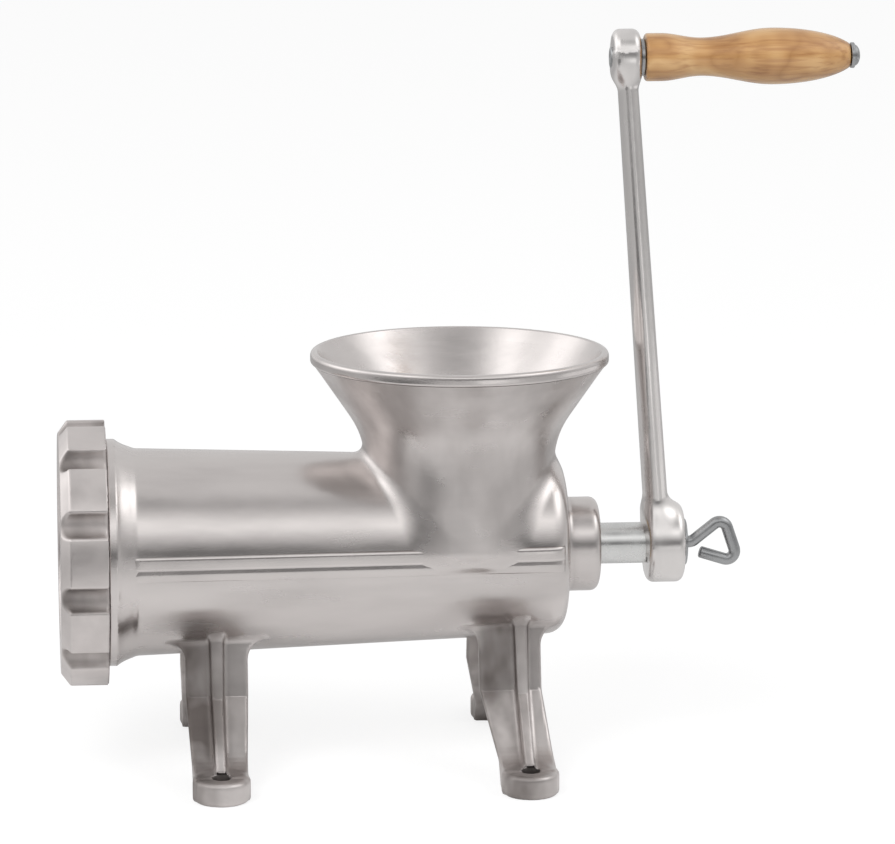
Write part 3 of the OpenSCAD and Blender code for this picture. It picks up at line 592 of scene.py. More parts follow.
def body_distance(x, y, z):
    """The whole casting: barrel, flange, neck, boss, hopper and legs, less its bores."""
    height = z - AXIS_Z
    r = np.hypot(y, height)
    core = polygon(x, r, [
        (barrel_x, -FAR), (barrel_x, BARREL_FRONT_R - REAR_ROUND),
        (rear_x - REAR_ROUND, BARREL_REAR_R - REAR_ROUND), (rear_x - REAR_ROUND, -FAR),
    ]) - REAR_ROUND
    out = union(core, drum(x, r, rear_x - REAR_ROUND, boss_x, BOSS_R, BOSS_ROUND), BOSS_FILLET)
    face_x = flange_x + FLANGE_EDGE
    rim_r = FLANGE_R - FLANGE_EDGE
    shoulder_x = barrel_x + SHOULDER_L / 2
    shoulder = polygon(x, r, [
        (face_x, -FAR), (face_x, rim_r), (shoulder_x - SHOULDER_L, rim_r),
        (shoulder_x, barrel_r(shoulder_x) - FLANGE_EDGE), (shoulder_x, -FAR),
    ]) - FLANGE_EDGE
    out = union(out, shoulder, FLANGE_FILLET)
    out = np.minimum(out, drum(x, r, mouth_x, barrel_x, NECK_R - THREAD_DEPTH, FLANGE_EDGE))

    from_hopper = np.hypot(x - hopper_x, y)
    cone = polygon(from_hopper, height, hopper_outline(0, rim_h - LIP_COVER))
    cone = np.maximum(cone, from_hopper - RIM_R + LIP_COVER)
    oval = ellipse(x - hopper_x, y, TONGUE_HALF_L, TONGUE_HALF_W)
    tongue = common(oval, band(height, TONGUE_LOW_H, TONGUE_TOP_H), TONGUE_EDGE)
    out = union(out, melted(cone, tongue, TONGUE_BLEND), HOPPER_FILLET)

    inside = polygon(x, r, [
        (mouth_x - FAR, -FAR), (mouth_x - FAR, MOUTH_R), (worm_low[0] + MOUTH_RECESS, MOUTH_R),
        (worm_low[0] + MOUTH_RECESS, barrel_r(worm_low[0]) - BARREL_WALL),
        (inner_rear_x, barrel_r(inner_rear_x) - BARREL_WALL), (inner_rear_x, -FAR),
    ])
    inside = np.minimum(inside, polygon(from_hopper, height, hopper_outline(HOPPER_WALL, rim_h + FAR)))
    inside = np.minimum(inside, np.maximum(r - BUSH_R, inner_rear_x - CUT_PAST - x))
    holes = np.full(x.shape, np.inf)
    for foot_x, lean in LEGS:
        leg, hole = leg_distance(x, y, z, foot_x, lean)
        out = union(out, leg, LEG_SEAT_FILLET)
        holes = np.minimum(holes, hole)
    out = common(out, -inside, BORE_EDGE)
    return common(out, -holes, BOLT_HOLE_EDGE)


BODY_CELL = 1.3
LEG_DULL = 1.2
LEG_DULL_FADE = 2
# Share of painted shade that darkens each rib's side towards the ring and lightens its other side
LEG_SIDE_SHADE = 0.4
HOPPER_DULL = 0.45
HOPPER_DULL_FADE = 9


def mark_raw_and_shaded(obj, amount):
    """Write how unpolished a casting is at each of its points, together with any painted shade that it carries."""
    raw_and_shaded = obj.data.attributes.new(RAW_AND_SHADED, "FLOAT", "POINT")
    raw_and_shaded.data.foreach_set("value", amount)


def hopper_dullness(x, y, z):
    """How unpolished the hopper is: dull outside, between the barrel and the lip."""
    height = z - AXIS_Z
    rise = np.hypot(y, height) - barrel_r(x)
    middle_of_wall = hopper_outline(HOPPER_WALL / 2, rim_h + FAR)
    within = polygon(np.hypot(x - hopper_x, y), height, middle_of_wall) < 0
    rise[within | (height < 0) | (height > rim_h - LIP_H) | (x < barrel_x + SHOULDER_L)] = 0
    return np.clip(rise / HOPPER_DULL_FADE, 0, HOPPER_DULL)


def leg_dullness_and_shade(x, y, z):
    """How unpolished the legs are, fading out on the barrel, with painted shade that makes each rib's side towards
    the ring darker and duller and its other side lighter.
    """
    from_legs = np.minimum(*[leg_distance(x, y, z, *leg)[0] for leg in LEGS])
    from_rib = np.where(x < 0, x + BOLT_X, x - BOLT_X)
    # Painted shade: each rib's side towards the ring is marked darker and its other side lighter.
    painted_side_shade = 1 - LEG_SIDE_SHADE * np.clip(from_rib / RIB_TOP_T, -1, 1)
    return painted_side_shade * np.clip(LEG_DULL - from_legs / LEG_DULL_FADE, 0, 1)


def hopper_lip():
    """The bead round the hopper's mouth, with a short skirt that hugs the cone under it."""
    def cone_r(wall, height):
        return hopper_outline(wall, height)[-2][0]

    low = rim_h - LIP_H
    tuck = low - LIP_SKIRT
    proud_inside, proud_outside = 0.08, 0.2
    sunk_inside, sunk_outside = 0.12, 0.15
    end_t = 1.5
    outline = rounded([
        (cone_r(HOPPER_WALL, rim_h) - proud_inside, rim_h), (RIM_R, rim_h), (RIM_R, low),
        (cone_r(0, low) + proud_outside, low),
        (cone_r(0, tuck) - sunk_outside, tuck), (cone_r(0, tuck) - end_t, tuck),
        (cone_r(HOPPER_WALL, tuck) + end_t, tuck), (cone_r(HOPPER_WALL, tuck) + sunk_inside, tuck),
    ], [1.4, 2.6, 1.6, 0.6, 0.2, 0.2, 0.2, 0.2], 8)
    segments = 240
    points = []
    for angle in np.linspace(0, 2 * math.pi, segments, endpoint=False):
        points += [(hopper_x + r * math.cos(angle), r * math.sin(angle), AXIS_Z + h) for r, h in outline]
    return points, loop_faces(segments, len(outline), closed=True)


# Section of the strip along the mould's joint, as heights over the barrel's axis and stand-offs from the
# barrel: a flat ledge at the top, a groove under it and a soft ridge at the bottom
LEDGE = [
    (8.4, -1.0), (7.6, -0.3), (6.9, 0.12), (6.0, 0.22), (2.2, 0.27),
    (1.7, 0.2), (1.4, 0.04), (1.0, 0.0), (0.6, 0.05),
    (-0.8, 0.32), (-1.2, 0.36), (-1.8, 0.33), (-4.4, -0.05), (-5.0, -0.35), (-5.6, -1.2),
]


def parting_ledge(side):
    """The strip along the mould's joint on one side of the barrel."""
    straight = np.linspace(barrel_x + 0.5, rear_x - REAR_ROUND, 24)
    stations = np.concatenate([straight, rear_x - np.array((6, 3.5))])
    points = []
    for x in stations:
        past = max(0, x - (rear_x - REAR_ROUND))
        r = barrel_r(x) - REAR_ROUND + math.sqrt(REAR_ROUND ** 2 - past ** 2)
        points += [(x, side * (r + out), AXIS_Z + h) for h, out in LEDGE]
    faces = capped_faces(len(stations), len(LEDGE))
    return points, faces if side > 0 else [face[::-1] for face in faces]


def make_casting():
    """The casting with its lip, its thread and the strips along the mould's joint."""
    points, faces, normals = skin(body_distance, body_low, body_high, BODY_CELL)
    casting = piece("casting", points, faces, tin, "housing", ["grinder_body"], normals)
    mark_raw_and_shaded(casting, np.maximum(leg_dullness_and_shade(*points.T), hopper_dullness(*points.T)))
    points, faces = hopper_lip()
    lip = piece("hopper_lip", points, faces, tin, "housing")
    mark_raw_and_shaded(lip, hopper_dullness(*np.array(points).T))
    turns = (NECK_L - THREAD_SHORT) / THREAD_PITCH
    start = mouth_x + NECK_THREAD_START
    root, crest = NECK_R - THREAD_DEPTH - THREAD_SINK, NECK_R - THREAD_GAP
    points, faces = helix(start, turns, THREAD_PITCH, root, crest, AXIS_Z, 96)
    piece("neck_thread", points, faces, tin, "housing")
    for name, side in (("parting_ledge_front", -1), ("parting_ledge_back", 1)):
        points, faces = parting_ledge(side)
        piece(name, points, faces, tin, "housing")


# The ring nut

RING_BEVEL_L = 5.5
RING_BEVEL_W = 7
RING_LIP_T = 5.5
RING_LIP_R = 44
RING_THREAD_R = 56.05
NOTCHES = 11
NOTCH_R = 6.25
NOTCH_ANGLE = 91
NOTCH_EDGE = 1.5
RING_EDGE = 1.3
RING_BORE_EDGE = 0.8
RING_BACK_EDGE = 0.5
NOTCH_SHADE = 1.1
RING_CELL = 0.95
RING_GAP = 0.15
ring_front_x, ring_back_x = ring_low[0], flange_x - RING_GAP
ring_r = max(ring_high[1], -ring_low[1])


def from_notches(y, height):
    """Distance to the nearest of the round notches along the ring's rim."""
    nearest = np.full(y.shape, np.inf)
    for i in range(NOTCHES):
        angle = math.radians(NOTCH_ANGLE + i * 360 / NOTCHES)
        notch = np.hypot(y - ring_r * math.cos(angle), height - ring_r * math.sin(angle)) - NOTCH_R
        nearest = np.minimum(nearest, notch)
    return nearest


def ring_distance(x, y, z):
    """A bevelled ring with round notches, a lip at its front and a wide bore behind."""
    height = z - AXIS_Z
    r = np.hypot(y, height)
    out = polygon(x, r, [
        (ring_front_x + RING_EDGE, -FAR), (ring_front_x + RING_EDGE, ring_r - RING_BEVEL_W),
        (ring_front_x + RING_BEVEL_L, ring_r - RING_EDGE), (ring_back_x + FAR, ring_r - RING_EDGE),
        (ring_back_x + FAR, -FAR),
    ]) - RING_EDGE
    out = common(out, x - ring_back_x, RING_BACK_EDGE)
    bore = common(r - RING_THREAD_R - THREAD_DEPTH, ring_front_x + RING_LIP_T - x, RING_BACK_EDGE)
    out = common(out, -from_notches(y, height), NOTCH_EDGE)
    return common(out, -np.minimum(r - RING_LIP_R, bore), RING_BORE_EDGE)


def make_ring():
    """The ring, its notches rougher and darker with painted shade, with the thread in its bore."""
    low = (ring_front_x, -ring_r, AXIS_Z - ring_r)
    high = (ring_back_x, ring_r, AXIS_Z + ring_r)
    points, faces, normals = skin(ring_distance, low, high, RING_CELL)
    ring = piece("ring", points, faces, ring_tin, "ring", ["ring_nut"], normals)
    # Painted shade: the notches are marked darker as well as rougher.
    mark_raw_and_shaded(ring, np.clip(NOTCH_SHADE - from_notches(points[:, 1], points[:, 2] - AXIS_Z), 0, 1))
    turns = (ring_back_x - ring_front_x - RING_LIP_T - THREAD_SHORT) / THREAD_PITCH
    start = ring_front_x + RING_LIP_T + RING_THREAD_START
    root, crest = RING_THREAD_R + THREAD_DEPTH + THREAD_SINK, RING_THREAD_R + THREAD_GAP
    points, faces = helix(start, turns, THREAD_PITCH, root, crest, AXIS_Z, 96)
    piece("ring_thread", points, [face[::-1] for face in faces], ring_tin, "ring")


# The worm and the shaft

CORE_REAR_R = 18
CORE_FRONT_R = 23
PITCH_REAR = 62
PITCH_FRONT = 46
FLIGHT_TIP_T = 6
FLIGHT_ROOT_T = 13
FLIGHT_EDGE = 0.4
FLIGHT_FLAT = 0.85
FLIGHT_HOLLOW = 0.75
WORM_CLEARANCE = 0.8
WORM_STEP = 4


def make_worm():
    """A tapered core with one left-handed flight whose lead shortens towards the knife."""
    length = worm_high[0] - worm_low[0]

    def twist(s):
        return 1 / PITCH_REAR + (1 / PITCH_FRONT - 1 / PITCH_REAR) * s / length

    turned = 360 * length * (twist(0) + twist(length)) / 2
    rings = math.ceil(turned / WORM_STEP) + 1
    points = []
    for s in np.linspace(0, length, rings):
        x = worm_high[0] - s
        tip = min(barrel_r(x) - BARREL_WALL, MOUTH_R) - WORM_CLEARANCE
        core = CORE_REAR_R + (CORE_FRONT_R - CORE_REAR_R) * s / length
        tip_half = 180 * FLIGHT_TIP_T * twist(s)
        root_half = 180 * FLIGHT_ROOT_T * twist(s)
        here = 360 * s * (twist(0) + twist(s)) / 2
        section = [(a, tip) for a in np.linspace(-FLIGHT_FLAT, FLIGHT_FLAT, 5) * tip_half]
        down = np.linspace(0, 1, 7)
        spread = tip_half + (root_half - tip_half) * down
        level = core + (tip - FLIGHT_EDGE - core) * (1 - down ** FLIGHT_HOLLOW)
        section += list(zip(spread, level))
        section += [(a, core) for a in np.linspace(root_half, 360 - root_half, 24)[1:-1]]
        section += list(zip(-spread[::-1], level[::-1]))
        for a, r in section:
            angle = math.radians(a + here)
            points.append((x, r * math.cos(angle), AXIS_Z + r * math.sin(angle)))
    faces = capped_faces(rings, len(section))
    piece("worm", points, faces, tin, "crank", ["auger_worm"])


# Sizes of the crank, which the shaft ends in
HUB_R = 20.7
HUB_L = 19.2
HUB_ROUND = 4
HUB_FILLET = 7
GRIP_BOSS_R = 13.3
GRIP_BOSS_L = 14
GRIP_BOSS_RISE = 1.4
GRIP_BOSS_FILLET = 6
ARM_T = 13
ARM_SETBACK = 0.3
ARM_HUB_W = 24
ARM_GRIP_W = 19
SPINDLE_R = 4
FIT = 0.05
CRANK_HOLE_EDGE = 0.4
SQUARE_HOLE_LEAD = 10
CRANK_CELL = 0.95
hub_end_x = crank_high[0]
hub_x = hub_end_x - HUB_L
grip_boss_x = crank_low[0]

# Sizes of the shaft
SHAFT_R = 10.65
SHAFT_TAIL_R = 9
SHAFT_SQUARE = 15
SHAFT_EDGE = 0.6
SHAFT_OVERLAP = 5
SQUARE_EDGE = 0.8
SCREW_R = 4
SCREW_BORE_R = 4.07
SCREW_BORE_EDGE = 0.4
SHAFT_CELL = 0.75


def shaft_distance(x, y, z):
    """A round shaft with a thinner tail in the worm and a bored square end in the crank."""
    height = z - AXIS_Z
    r = np.hypot(y, height)
    half = SHAFT_SQUARE / 2
    square = common(np.abs(y) - half, np.abs(height) - half, SQUARE_EDGE)
    out = drum(x, r, worm_high[0], hub_x, SHAFT_R, SHAFT_EDGE)
    tail_end_x = worm_high[0] + SHAFT_OVERLAP
    out = np.minimum(out, drum(x, r, shaft_low[0], tail_end_x, SHAFT_TAIL_R, SHAFT_EDGE))
    out = np.minimum(out, common(square, band(x, hub_x - SHAFT_OVERLAP, shaft_high[0]), SQUARE_EDGE))
    bore = np.maximum(r - SCREW_BORE_R, screw_low[0] - x)
    return common(out, -bore, SCREW_BORE_EDGE)


def make_shaft():
    points, faces, normals = skin(shaft_distance, shaft_low, shaft_high, SHAFT_CELL)
    piece("shaft", points, faces, steel, "crank", ["drive_shaft"], normals)


# The crank

def crank_distance(x, y, z):
    """Hub, oval tapering arm and grip boss in one casting, with a square hole and a spindle bore."""
    hub = drum(x, np.hypot(y, z - AXIS_Z), hub_x, hub_end_x, HUB_R, HUB_ROUND)
    from_boss = np.hypot(y, z - CRANK_Z - GRIP_BOSS_RISE)
    boss = drum(x, from_boss, grip_boss_x, grip_boss_x + GRIP_BOSS_L, GRIP_BOSS_R, HUB_ROUND)
    foot = np.array((hub_x + ARM_T / 2 + ARM_SETBACK, AXIS_Z))
    head = np.array((grip_boss_x + GRIP_BOSS_L / 2, CRANK_Z))
    length = np.linalg.norm(head - foot)
    run = (head - foot) / length
    along = (x - foot[0]) * run[0] + (z - foot[1]) * run[1]
    beside = (x - foot[0]) * run[1] - (z - foot[1]) * run[0]
    half_w = (ARM_HUB_W + (ARM_GRIP_W - ARM_HUB_W) * along / length) / 2
    half_t = half_w * ARM_T / ARM_HUB_W
    arm = np.maximum(ellipse(beside, y, half_t, half_w), band(along, 0, length))
    out = union(union(hub, arm, HUB_FILLET), boss, GRIP_BOSS_FILLET)
    square = np.maximum(np.abs(y), np.abs(z - AXIS_Z)) - SHAFT_SQUARE / 2 - FIT
    out = common(out, -np.maximum(square, hub_x - SQUARE_HOLE_LEAD - x), CRANK_HOLE_EDGE)
    return common(out, SPINDLE_R + FIT - np.hypot(y, z - CRANK_Z), CRANK_HOLE_EDGE)


def make_crank():
    high = crank_high + np.array((0, 0, GRIP_BOSS_RISE + CRANK_CELL))
    points, faces, normals = skin(crank_distance, crank_low, high, CRANK_CELL)
    piece("crank", points, faces, crank_tin, "crank", ["crank_arm"], normals)


WASHER_FIT = 0.3
WASHER_BORE_EDGE = 0.2
WASHER_RIM_EDGE = 0.5


def make_washer(name, node_name, bore, material, body, z):
    """A stamped washer with soft edges in the place of its node."""
    low, high = box_mm(node_name)
    r = (high[1] - low[1]) / 2
    outline = [(low[0], bore), (high[0], bore), (high[0], r), (low[0], r)]
    edges = [WASHER_BORE_EDGE, WASHER_BORE_EDGE, WASHER_RIM_EDGE, WASHER_RIM_EDGE]
    points, faces = lathe(rounded(outline, edges), z)
    piece(name, points, faces, material, body, [node_name])


RIVET_R = 5.5
RIVET_HEAD = 1.2
RIVET_EDGE_L = 0.5
RIVET_EDGE_W = 0.6
RIVET_DOME = 3


def make_spindle():
    """The grip's spindle with a flat inner head and a domed riveted end."""
    head_x, tip_x = spindle_low[0], spindle_high[0]
    dome_x = tip_x - RIVET_DOME
    turn = np.radians(np.linspace(0, 86, 9))
    dome = [(dome_x + RIVET_DOME * math.sin(a), RIVET_R * math.cos(a)) for a in turn]
    outline = [(head_x, ON_AXIS), (head_x, RIVET_R - RIVET_EDGE_W), (head_x + RIVET_EDGE_L, RIVET_R)]
    outline += [(head_x + RIVET_HEAD, RIVET_R), (head_x + RIVET_HEAD, SPINDLE_R), (dome_x, SPINDLE_R)]
    outline += dome + [(tip_x, ON_AXIS)]
    points, faces = lathe(outline, CRANK_Z, 64)
    piece("spindle", points, faces, zinc, "crank", ["grip_spindle"])


# The grip

COLLAR_R = 12.3
COLLAR_L = 8
WAIST_R = 9.8
WAIST_S = 29
BELLY_R = 14.5
BELLY_S = 66
COLLAR_EDGE = 1.4
GRIP_END_R = 6
GRIP_END_EDGE_L = 0.5
GRIP_END_EDGE_W = 0.7
GRIP_BORE_R = 4.07


def grip_r(s, length):
    """Radius of the turned grip at a distance from the crank."""
    def ease(a, b, t):
        return a + (b - a) * (1 - math.cos(math.pi * t)) / 2

    if s < COLLAR_L:
        return COLLAR_R
    if s < WAIST_S:
        return ease(COLLAR_R, WAIST_R, (s - COLLAR_L) / (WAIST_S - COLLAR_L))
    if s < BELLY_S:
        return ease(WAIST_R, BELLY_R, (s - WAIST_S) / (BELLY_S - WAIST_S))
    nose = (length - BELLY_S) / math.sqrt(1 - (GRIP_END_R / BELLY_R) ** 2)
    return BELLY_R * math.sqrt(1 - ((s - BELLY_S) / nose) ** 2)


def make_grip():
    start, end = grip_low[0], grip_high[0]
    length = end - start
    outline = [(start, GRIP_BORE_R), (start, COLLAR_R - COLLAR_EDGE)]
    outline += arc((start + COLLAR_EDGE, COLLAR_R - COLLAR_EDGE), COLLAR_EDGE, 150, 90, 2)
    stations = np.linspace(COLLAR_L, length - GRIP_END_EDGE_L, 72)
    outline += [(start + s, grip_r(s, length)) for s in stations]
    outline += [(end, GRIP_END_R - GRIP_END_EDGE_W), (end, GRIP_BORE_R)]
    points, faces = lathe(outline[::-1], CRANK_Z, 96)
    piece("wooden_grip", points, faces, honey, "grip", ["handle_grip"])


# The thumb screw

WIRE_R = 3.1
WIRE_EDGE = 0.5
LOOP_START = (-4, 0)
LOOP_TOP = (19.6, 13)
LOOP_LOW = (28, -12)
LOOP_END = (7.7, -5.6)
LOOP_BEND_R = 4.25
LOOP_GAP = 0.3
SCREW_PITCH = 1.25
SCREW_ROOT_R = 3.4
SCREW_TIP = 0.8
SCREW_NECK = 1
SCREW_THREAD_START = 1.5
SCREW_THREAD_SHORT = 3.5
SCREW_THREAD_SINK = 0.05
loop_x = washer_high[0] + LOOP_GAP


def wire_line():
    """Centre line of the bent wire in the X-Z plane, with round bends."""
    corners = [LOOP_START, (WIRE_R, 0), LOOP_TOP, LOOP_LOW, LOOP_END]
    line = [np.array(corners[0])]
    for before, here, after in zip(corners, corners[1:], corners[2:]):
        before, here, after = np.array(before), np.array(here), np.array(after)
        u = (before - here) / np.linalg.norm(before - here)
        v = (after - here) / np.linalg.norm(after - here)
        half = math.acos(u @ v) / 2
        middle = here + (u + v) / np.linalg.norm(u + v) * LOOP_BEND_R / math.sin(half)
        start = here + u * LOOP_BEND_R / math.tan(half) - middle
        end = here + v * LOOP_BEND_R / math.tan(half) - middle
        a0 = math.atan2(start[1], start[0])
        sweep = (math.atan2(end[1], end[0]) - a0 + math.pi) % (2 * math.pi) - math.pi
        for a in a0 + sweep * np.linspace(0, 1, 12):
            line.append(middle + LOOP_BEND_R * np.array((math.cos(a), math.sin(a))))
    line.append(np.array(corners[-1]))
    return line


def make_screw():
    """Bent wire with a cut thread on its straight shank."""
    sides = 20
    line = wire_line()
    points = []
    tip = line[-1] - line[-2]
    tip /= np.linalg.norm(tip)
    rings = [(at, WIRE_R) for at in line] + [(line[-1] + tip * WIRE_EDGE, WIRE_R - WIRE_EDGE)]
    for i, (at, r) in enumerate(rings):
        ahead = rings[min(i + 1, len(rings) - 1)][0] - rings[max(i - 1, 0)][0]
        side = np.array((-ahead[1], ahead[0])) / np.linalg.norm(ahead)
        for a in np.linspace(0, 2 * math.pi, sides, endpoint=False):
            spot = at + side * r * math.cos(a)
            points.append((loop_x + spot[0], r * math.sin(a), AXIS_Z + spot[1]))
    faces = capped_faces(len(rings), sides)
    piece("wire_loop", points, faces, zinc, "screw", ["thumb_screw"])
    start, end = screw_low[0], loop_x
    outline = [(start, ON_AXIS), (start, SCREW_ROOT_R - SCREW_TIP), (start + SCREW_TIP, SCREW_ROOT_R)]
    outline += [(end - SCREW_NECK, SCREW_ROOT_R), (end, WIRE_R), (end, ON_AXIS)]
    points, faces = lathe(outline, AXIS_Z, 48)
    piece("screw_shank", points, faces, zinc, "screw")
    turns = (end - start - SCREW_THREAD_SHORT) / SCREW_PITCH
    root, crest = SCREW_ROOT_R - SCREW_THREAD_SINK, SCREW_R - SCREW_THREAD_SINK
    points, faces = helix(start + SCREW_THREAD_START, turns, SCREW_PITCH, root, crest, AXIS_Z, 36)
    piece("screw_thread", points, faces, zinc, "screw")


# Pieces that keep the frame's own solids

def dress(node_name, material, edge):
    """A solid of the frame with its small edges broken and its own finish."""
    obj = frame["nodes"][node_name]
    weld = obj.modifiers.new("weld", "WELD")
    weld.merge_threshold = 1e-6
    bevel = obj.modifiers.new("edges", "BEVEL")
    bevel.width = edge * MM
    bevel.segments = 2
    bevel.limit_method = "ANGLE"
    bevel.angle_limit = math.radians(40)
    obj.data.materials.clear()
    obj.data.materials.append(material)


make_casting()
make_ring()
make_worm()
make_shaft()
make_crank()
make_washer("hub_washer", "crank_washer", SCREW_R + WASHER_FIT, zinc, "washer", AXIS_Z)
make_washer("inner_washer", "inner_grip_washer", SPINDLE_R + WASHER_FIT, zinc, "crank", CRANK_Z)
make_washer("outer_washer", "outer_grip_washer", SPINDLE_R + FIT, zinc, "crank", CRANK_Z)
make_spindle()
make_grip()
make_screw()
dress("rear_bush", bronze, edge=0.4)
dress("thrust_washer", steel, edge=0.3)
dress("plate_key_pin", steel, edge=0.3)
dress("grinding_plate", cutter, edge=0.35)
dress("knife", cutter, edge=0.4)
dress("knife_stud", steel, edge=0.4)


# Stage, light and camera

def seen_directly(tree):
    """1 for rays from the camera and for mirrored and refracted ones, 0 for light that falls on things."""
    path = node(tree, "LightPath").outputs
    either = node(tree, "Math", {0: path["Is Camera Ray"], 1: path["Is Glossy Ray"]}, operation="MAXIMUM")
    every = {0: either.outputs["Value"], 1: path["Is Transmission Ray"]}
    return node(tree, "Math", every, operation="MAXIMUM").outputs["Value"]


def mirrored(tree):
    """1 for rays that a polished piece mirrors, 0 for the rest."""
    return node(tree, "LightPath").outputs["Is Glossy Ray"]


def make_world(fill):
    """White to look at, and an even grey fill as light."""
    world = bpy.data.worlds.new("studio")
    bpy.context.scene.world = world
    world.use_nodes = True
    tree = world.node_tree
    tree.nodes.clear()
    light = node(tree, "Background", {"Color": (1, 1, 1, 1), "Strength": fill})
    white = node(tree, "Background", {"Color": (1, 1, 1, 1), "Strength": 1.0})
    mixed = node(tree, "MixShader", {"Fac": seen_directly(tree)})
    tree.links.new(light.outputs[0], mixed.inputs[1])
    tree.links.new(white.outputs[0], mixed.inputs[2])
    out = node(tree, "OutputWorld")
    tree.links.new(mixed.outputs[0], out.inputs["Surface"])


def make_floor():
    """A pale floor that shows white, keeps a soft shadow and is mirrored darker far from the object, a painted
    falloff of light.
    """
    radius, sides = 6, 64
    near, far = 0.15, 0.9
    seen_share, near_share, far_share = 0.25, 0.74, 0.44
    seen_glow, mirrored_glow = 0.81, 0.12
    angles = np.linspace(0, 2 * math.pi, sides, endpoint=False)
    mesh = bpy.data.meshes.new("floor")
    corners = [(radius * math.cos(a), radius * math.sin(a), 0) for a in angles]
    mesh.from_pydata(corners, [], [tuple(range(sides))])
    floor = bpy.data.objects.new("floor", mesh)
    bpy.context.scene.collection.objects.link(floor)
    material = bpy.data.materials.new("pale_floor")
    material.use_nodes = True
    tree = material.node_tree
    tree.nodes.clear()
    lit = node(tree, "BsdfDiffuse", {"Color": (0.8, 0.8, 0.8, 1)})
    place = node(tree, "TexCoord").outputs["Object"]
    away = node(tree, "VectorMath", {0: place}, operation="LENGTH").outputs["Value"]
    # Painted falloff of light: mirrored rays see the floor brighter near the object and darker far from it.
    mirrored_share = scaled(tree, away, near_share, far_share, near, far)
    share = scaled(tree, mirrored(tree), seen_share, mirrored_share)
    shaded = node(tree, "BsdfDiffuse", {"Color": share})
    strength = scaled(tree, mirrored(tree), seen_glow, mirrored_glow)
    glow = node(tree, "Emission", {"Color": (1, 1, 1, 1), "Strength": strength})
    shown = node(tree, "AddShader")
    tree.links.new(shaded.outputs[0], shown.inputs[0])
    tree.links.new(glow.outputs[0], shown.inputs[1])
    mixed = node(tree, "MixShader", {"Fac": seen_directly(tree)})
    tree.links.new(lit.outputs[0], mixed.inputs[1])
    tree.links.new(shown.outputs[0], mixed.inputs[2])
    out = node(tree, "OutputMaterial")
    tree.links.new(mixed.outputs[0], out.inputs["Surface"])
    mesh.materials.append(material)


# Brightness of the studio, and its soft boxes and darker bands: brightness added, elevation and its reach,
# and angle to the side of the front and its reach, in degrees
STUDIO_BASE = 0.73
STUDIO_LIGHTS = (
    (-0.61, 9, 11, 0, 80),
    (0.53, 40, 10, 0, 50),
    (-0.34, 66, 9, 0, 35),
    (1.3, 50, 16, 82, 28),
    (1.0, 50, 16, -66, 24),
    (1.1, 26, 18, -112, 26),
)


def studio_level(direction):
    """How bright the studio is in a direction."""
    x, y, z = direction
    height = math.degrees(math.asin(max(-1, min(1, z))))
    side = math.degrees(math.atan2(x, -y))

    def bump(value, middle, width):
        return math.exp(-((value - middle) / width) ** 2)

    level = STUDIO_BASE
    for gain, elevation, up_reach, angle, side_reach in STUDIO_LIGHTS:
        level += gain * bump(height, elevation, up_reach) * bump(side, angle, side_reach)
    return level


def mirror_only(name, mesh, levels):
    """A glowing thing of the studio that only polished pieces mirror, with a brightness at each point."""
    glow = mesh.color_attributes.new("glow", "FLOAT_COLOR", "POINT")
    for item, level in zip(glow.data, levels):
        item.color = (level, level, level, 1)
    obj = bpy.data.objects.new(name, mesh)
    bpy.context.scene.collection.objects.link(obj)
    material = bpy.data.materials.new(name)
    material.use_nodes = True
    tree = material.node_tree
    tree.nodes.clear()
    tone = node(tree, "VertexColor", layer_name="glow").outputs["Color"]
    light = node(tree, "Emission", {"Color": tone, "Strength": 1.0})
    out = node(tree, "OutputMaterial")
    tree.links.new(light.outputs[0], out.inputs["Surface"])
    mesh.materials.append(material)
    obj.visible_camera = False
    obj.visible_diffuse = False
    obj.visible_shadow = False
    obj.visible_transmission = False


def make_card(name, low, high, level):
    """A white or dark card that lies on the floor between two corners."""
    lift = 0.001
    corners = [(low[0], low[1]), (high[0], low[1]), (high[0], high[1]), (low[0], high[1])]
    mesh = bpy.data.meshes.new(name)
    mesh.from_pydata([(x, y, lift) for x, y in corners], [], [(0, 1, 2, 3)])
    mirror_only(name, mesh, [level] * len(corners))


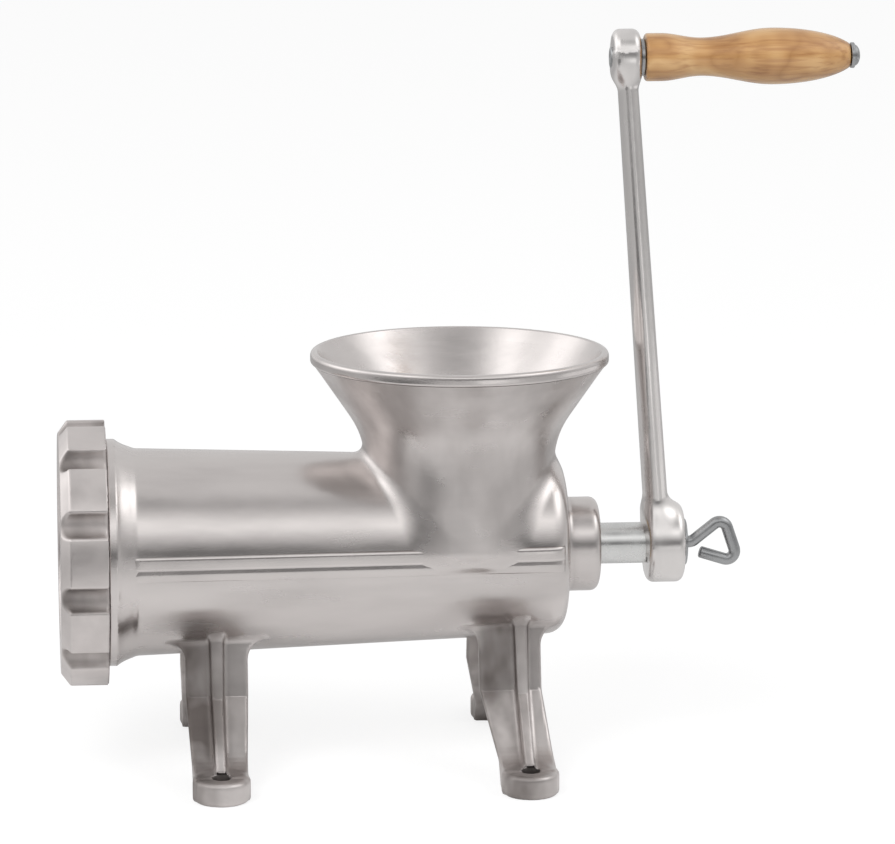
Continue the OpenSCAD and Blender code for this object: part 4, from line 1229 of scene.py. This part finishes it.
def make_dome():
    """Cloth and soft boxes round the set."""
    radius, around, rows = 5.5, 96, 40
    lowest, highest = -2, 90
    points = []
    for row in range(rows):
        height = math.radians(lowest + (highest - lowest) * row / (rows - 1))
        for i in range(around):
            a = 2 * math.pi * i / around
            points.append((math.cos(a) * math.cos(height), math.sin(a) * math.cos(height), math.sin(height)))
    mesh = bpy.data.meshes.new("studio_dome")
    mesh.from_pydata([tuple(radius * c for c in p) for p in points], [], loop_faces(rows, around))
    mirror_only("studio_dome", mesh, [studio_level(p) for p in points])


def make_lamp(name, place, target, size, power):
    """A soft box that lights wood and floor; polished pieces mirror the dome's soft boxes instead."""
    light = bpy.data.lights.new(name, "AREA")
    light.shape = "SQUARE"
    light.size = size
    light.energy = power
    lamp = bpy.data.objects.new(name, light)
    lamp.location = place
    lamp.rotation_euler = (Vector(target) - Vector(place)).to_track_quat("-Z", "Y").to_euler()
    lamp.visible_glossy = False
    bpy.context.scene.collection.objects.link(lamp)


CAMERA_AZIMUTH = math.radians(-5.21)
CAMERA_ELEVATION = math.radians(10.57)
CAMERA_DISTANCE = 2.6
CAMERA_TARGET = (0.04355, 0, 0.17689)
CAMERA_LENS = 202.65


def make_camera():
    """The photograph's viewpoint."""
    camera = bpy.data.cameras.new("camera")
    camera.sensor_fit = "HORIZONTAL"
    camera.sensor_width = 36
    camera.lens = CAMERA_LENS
    camera.clip_end = 50
    obj = bpy.data.objects.new("camera", camera)
    back = Vector((
        math.sin(CAMERA_AZIMUTH) * math.cos(CAMERA_ELEVATION),
        -math.cos(CAMERA_AZIMUTH) * math.cos(CAMERA_ELEVATION),
        math.sin(CAMERA_ELEVATION),
    ))
    obj.location = Vector(CAMERA_TARGET) + CAMERA_DISTANCE * back
    obj.rotation_euler = back.to_track_quat("Z", "Y").to_euler()
    bpy.context.scene.collection.objects.link(obj)
    bpy.context.scene.camera = obj


make_world(fill=0.55)
make_floor()
make_dome()
make_card("front_card", low=(0.25, -2.4), high=(0.9, -0.9), level=1.25)
make_card("right_card", low=(1.0, -0.3), high=(1.9, 0.9), level=1.0)
make_card("left_flag", low=(-1.4, -1.3), high=(-0.35, -0.3), level=0.1)
make_lamp("key", place=(-1.4, -2.2, 2.6), target=(0, 0, 0.15), size=1.6, power=60)
make_lamp("fill", place=(2.0, -1.4, 1.8), target=(0, 0, 0.15), size=1.6, power=22)
make_camera()
bpy.context.scene.view_settings.view_transform = "Standard"
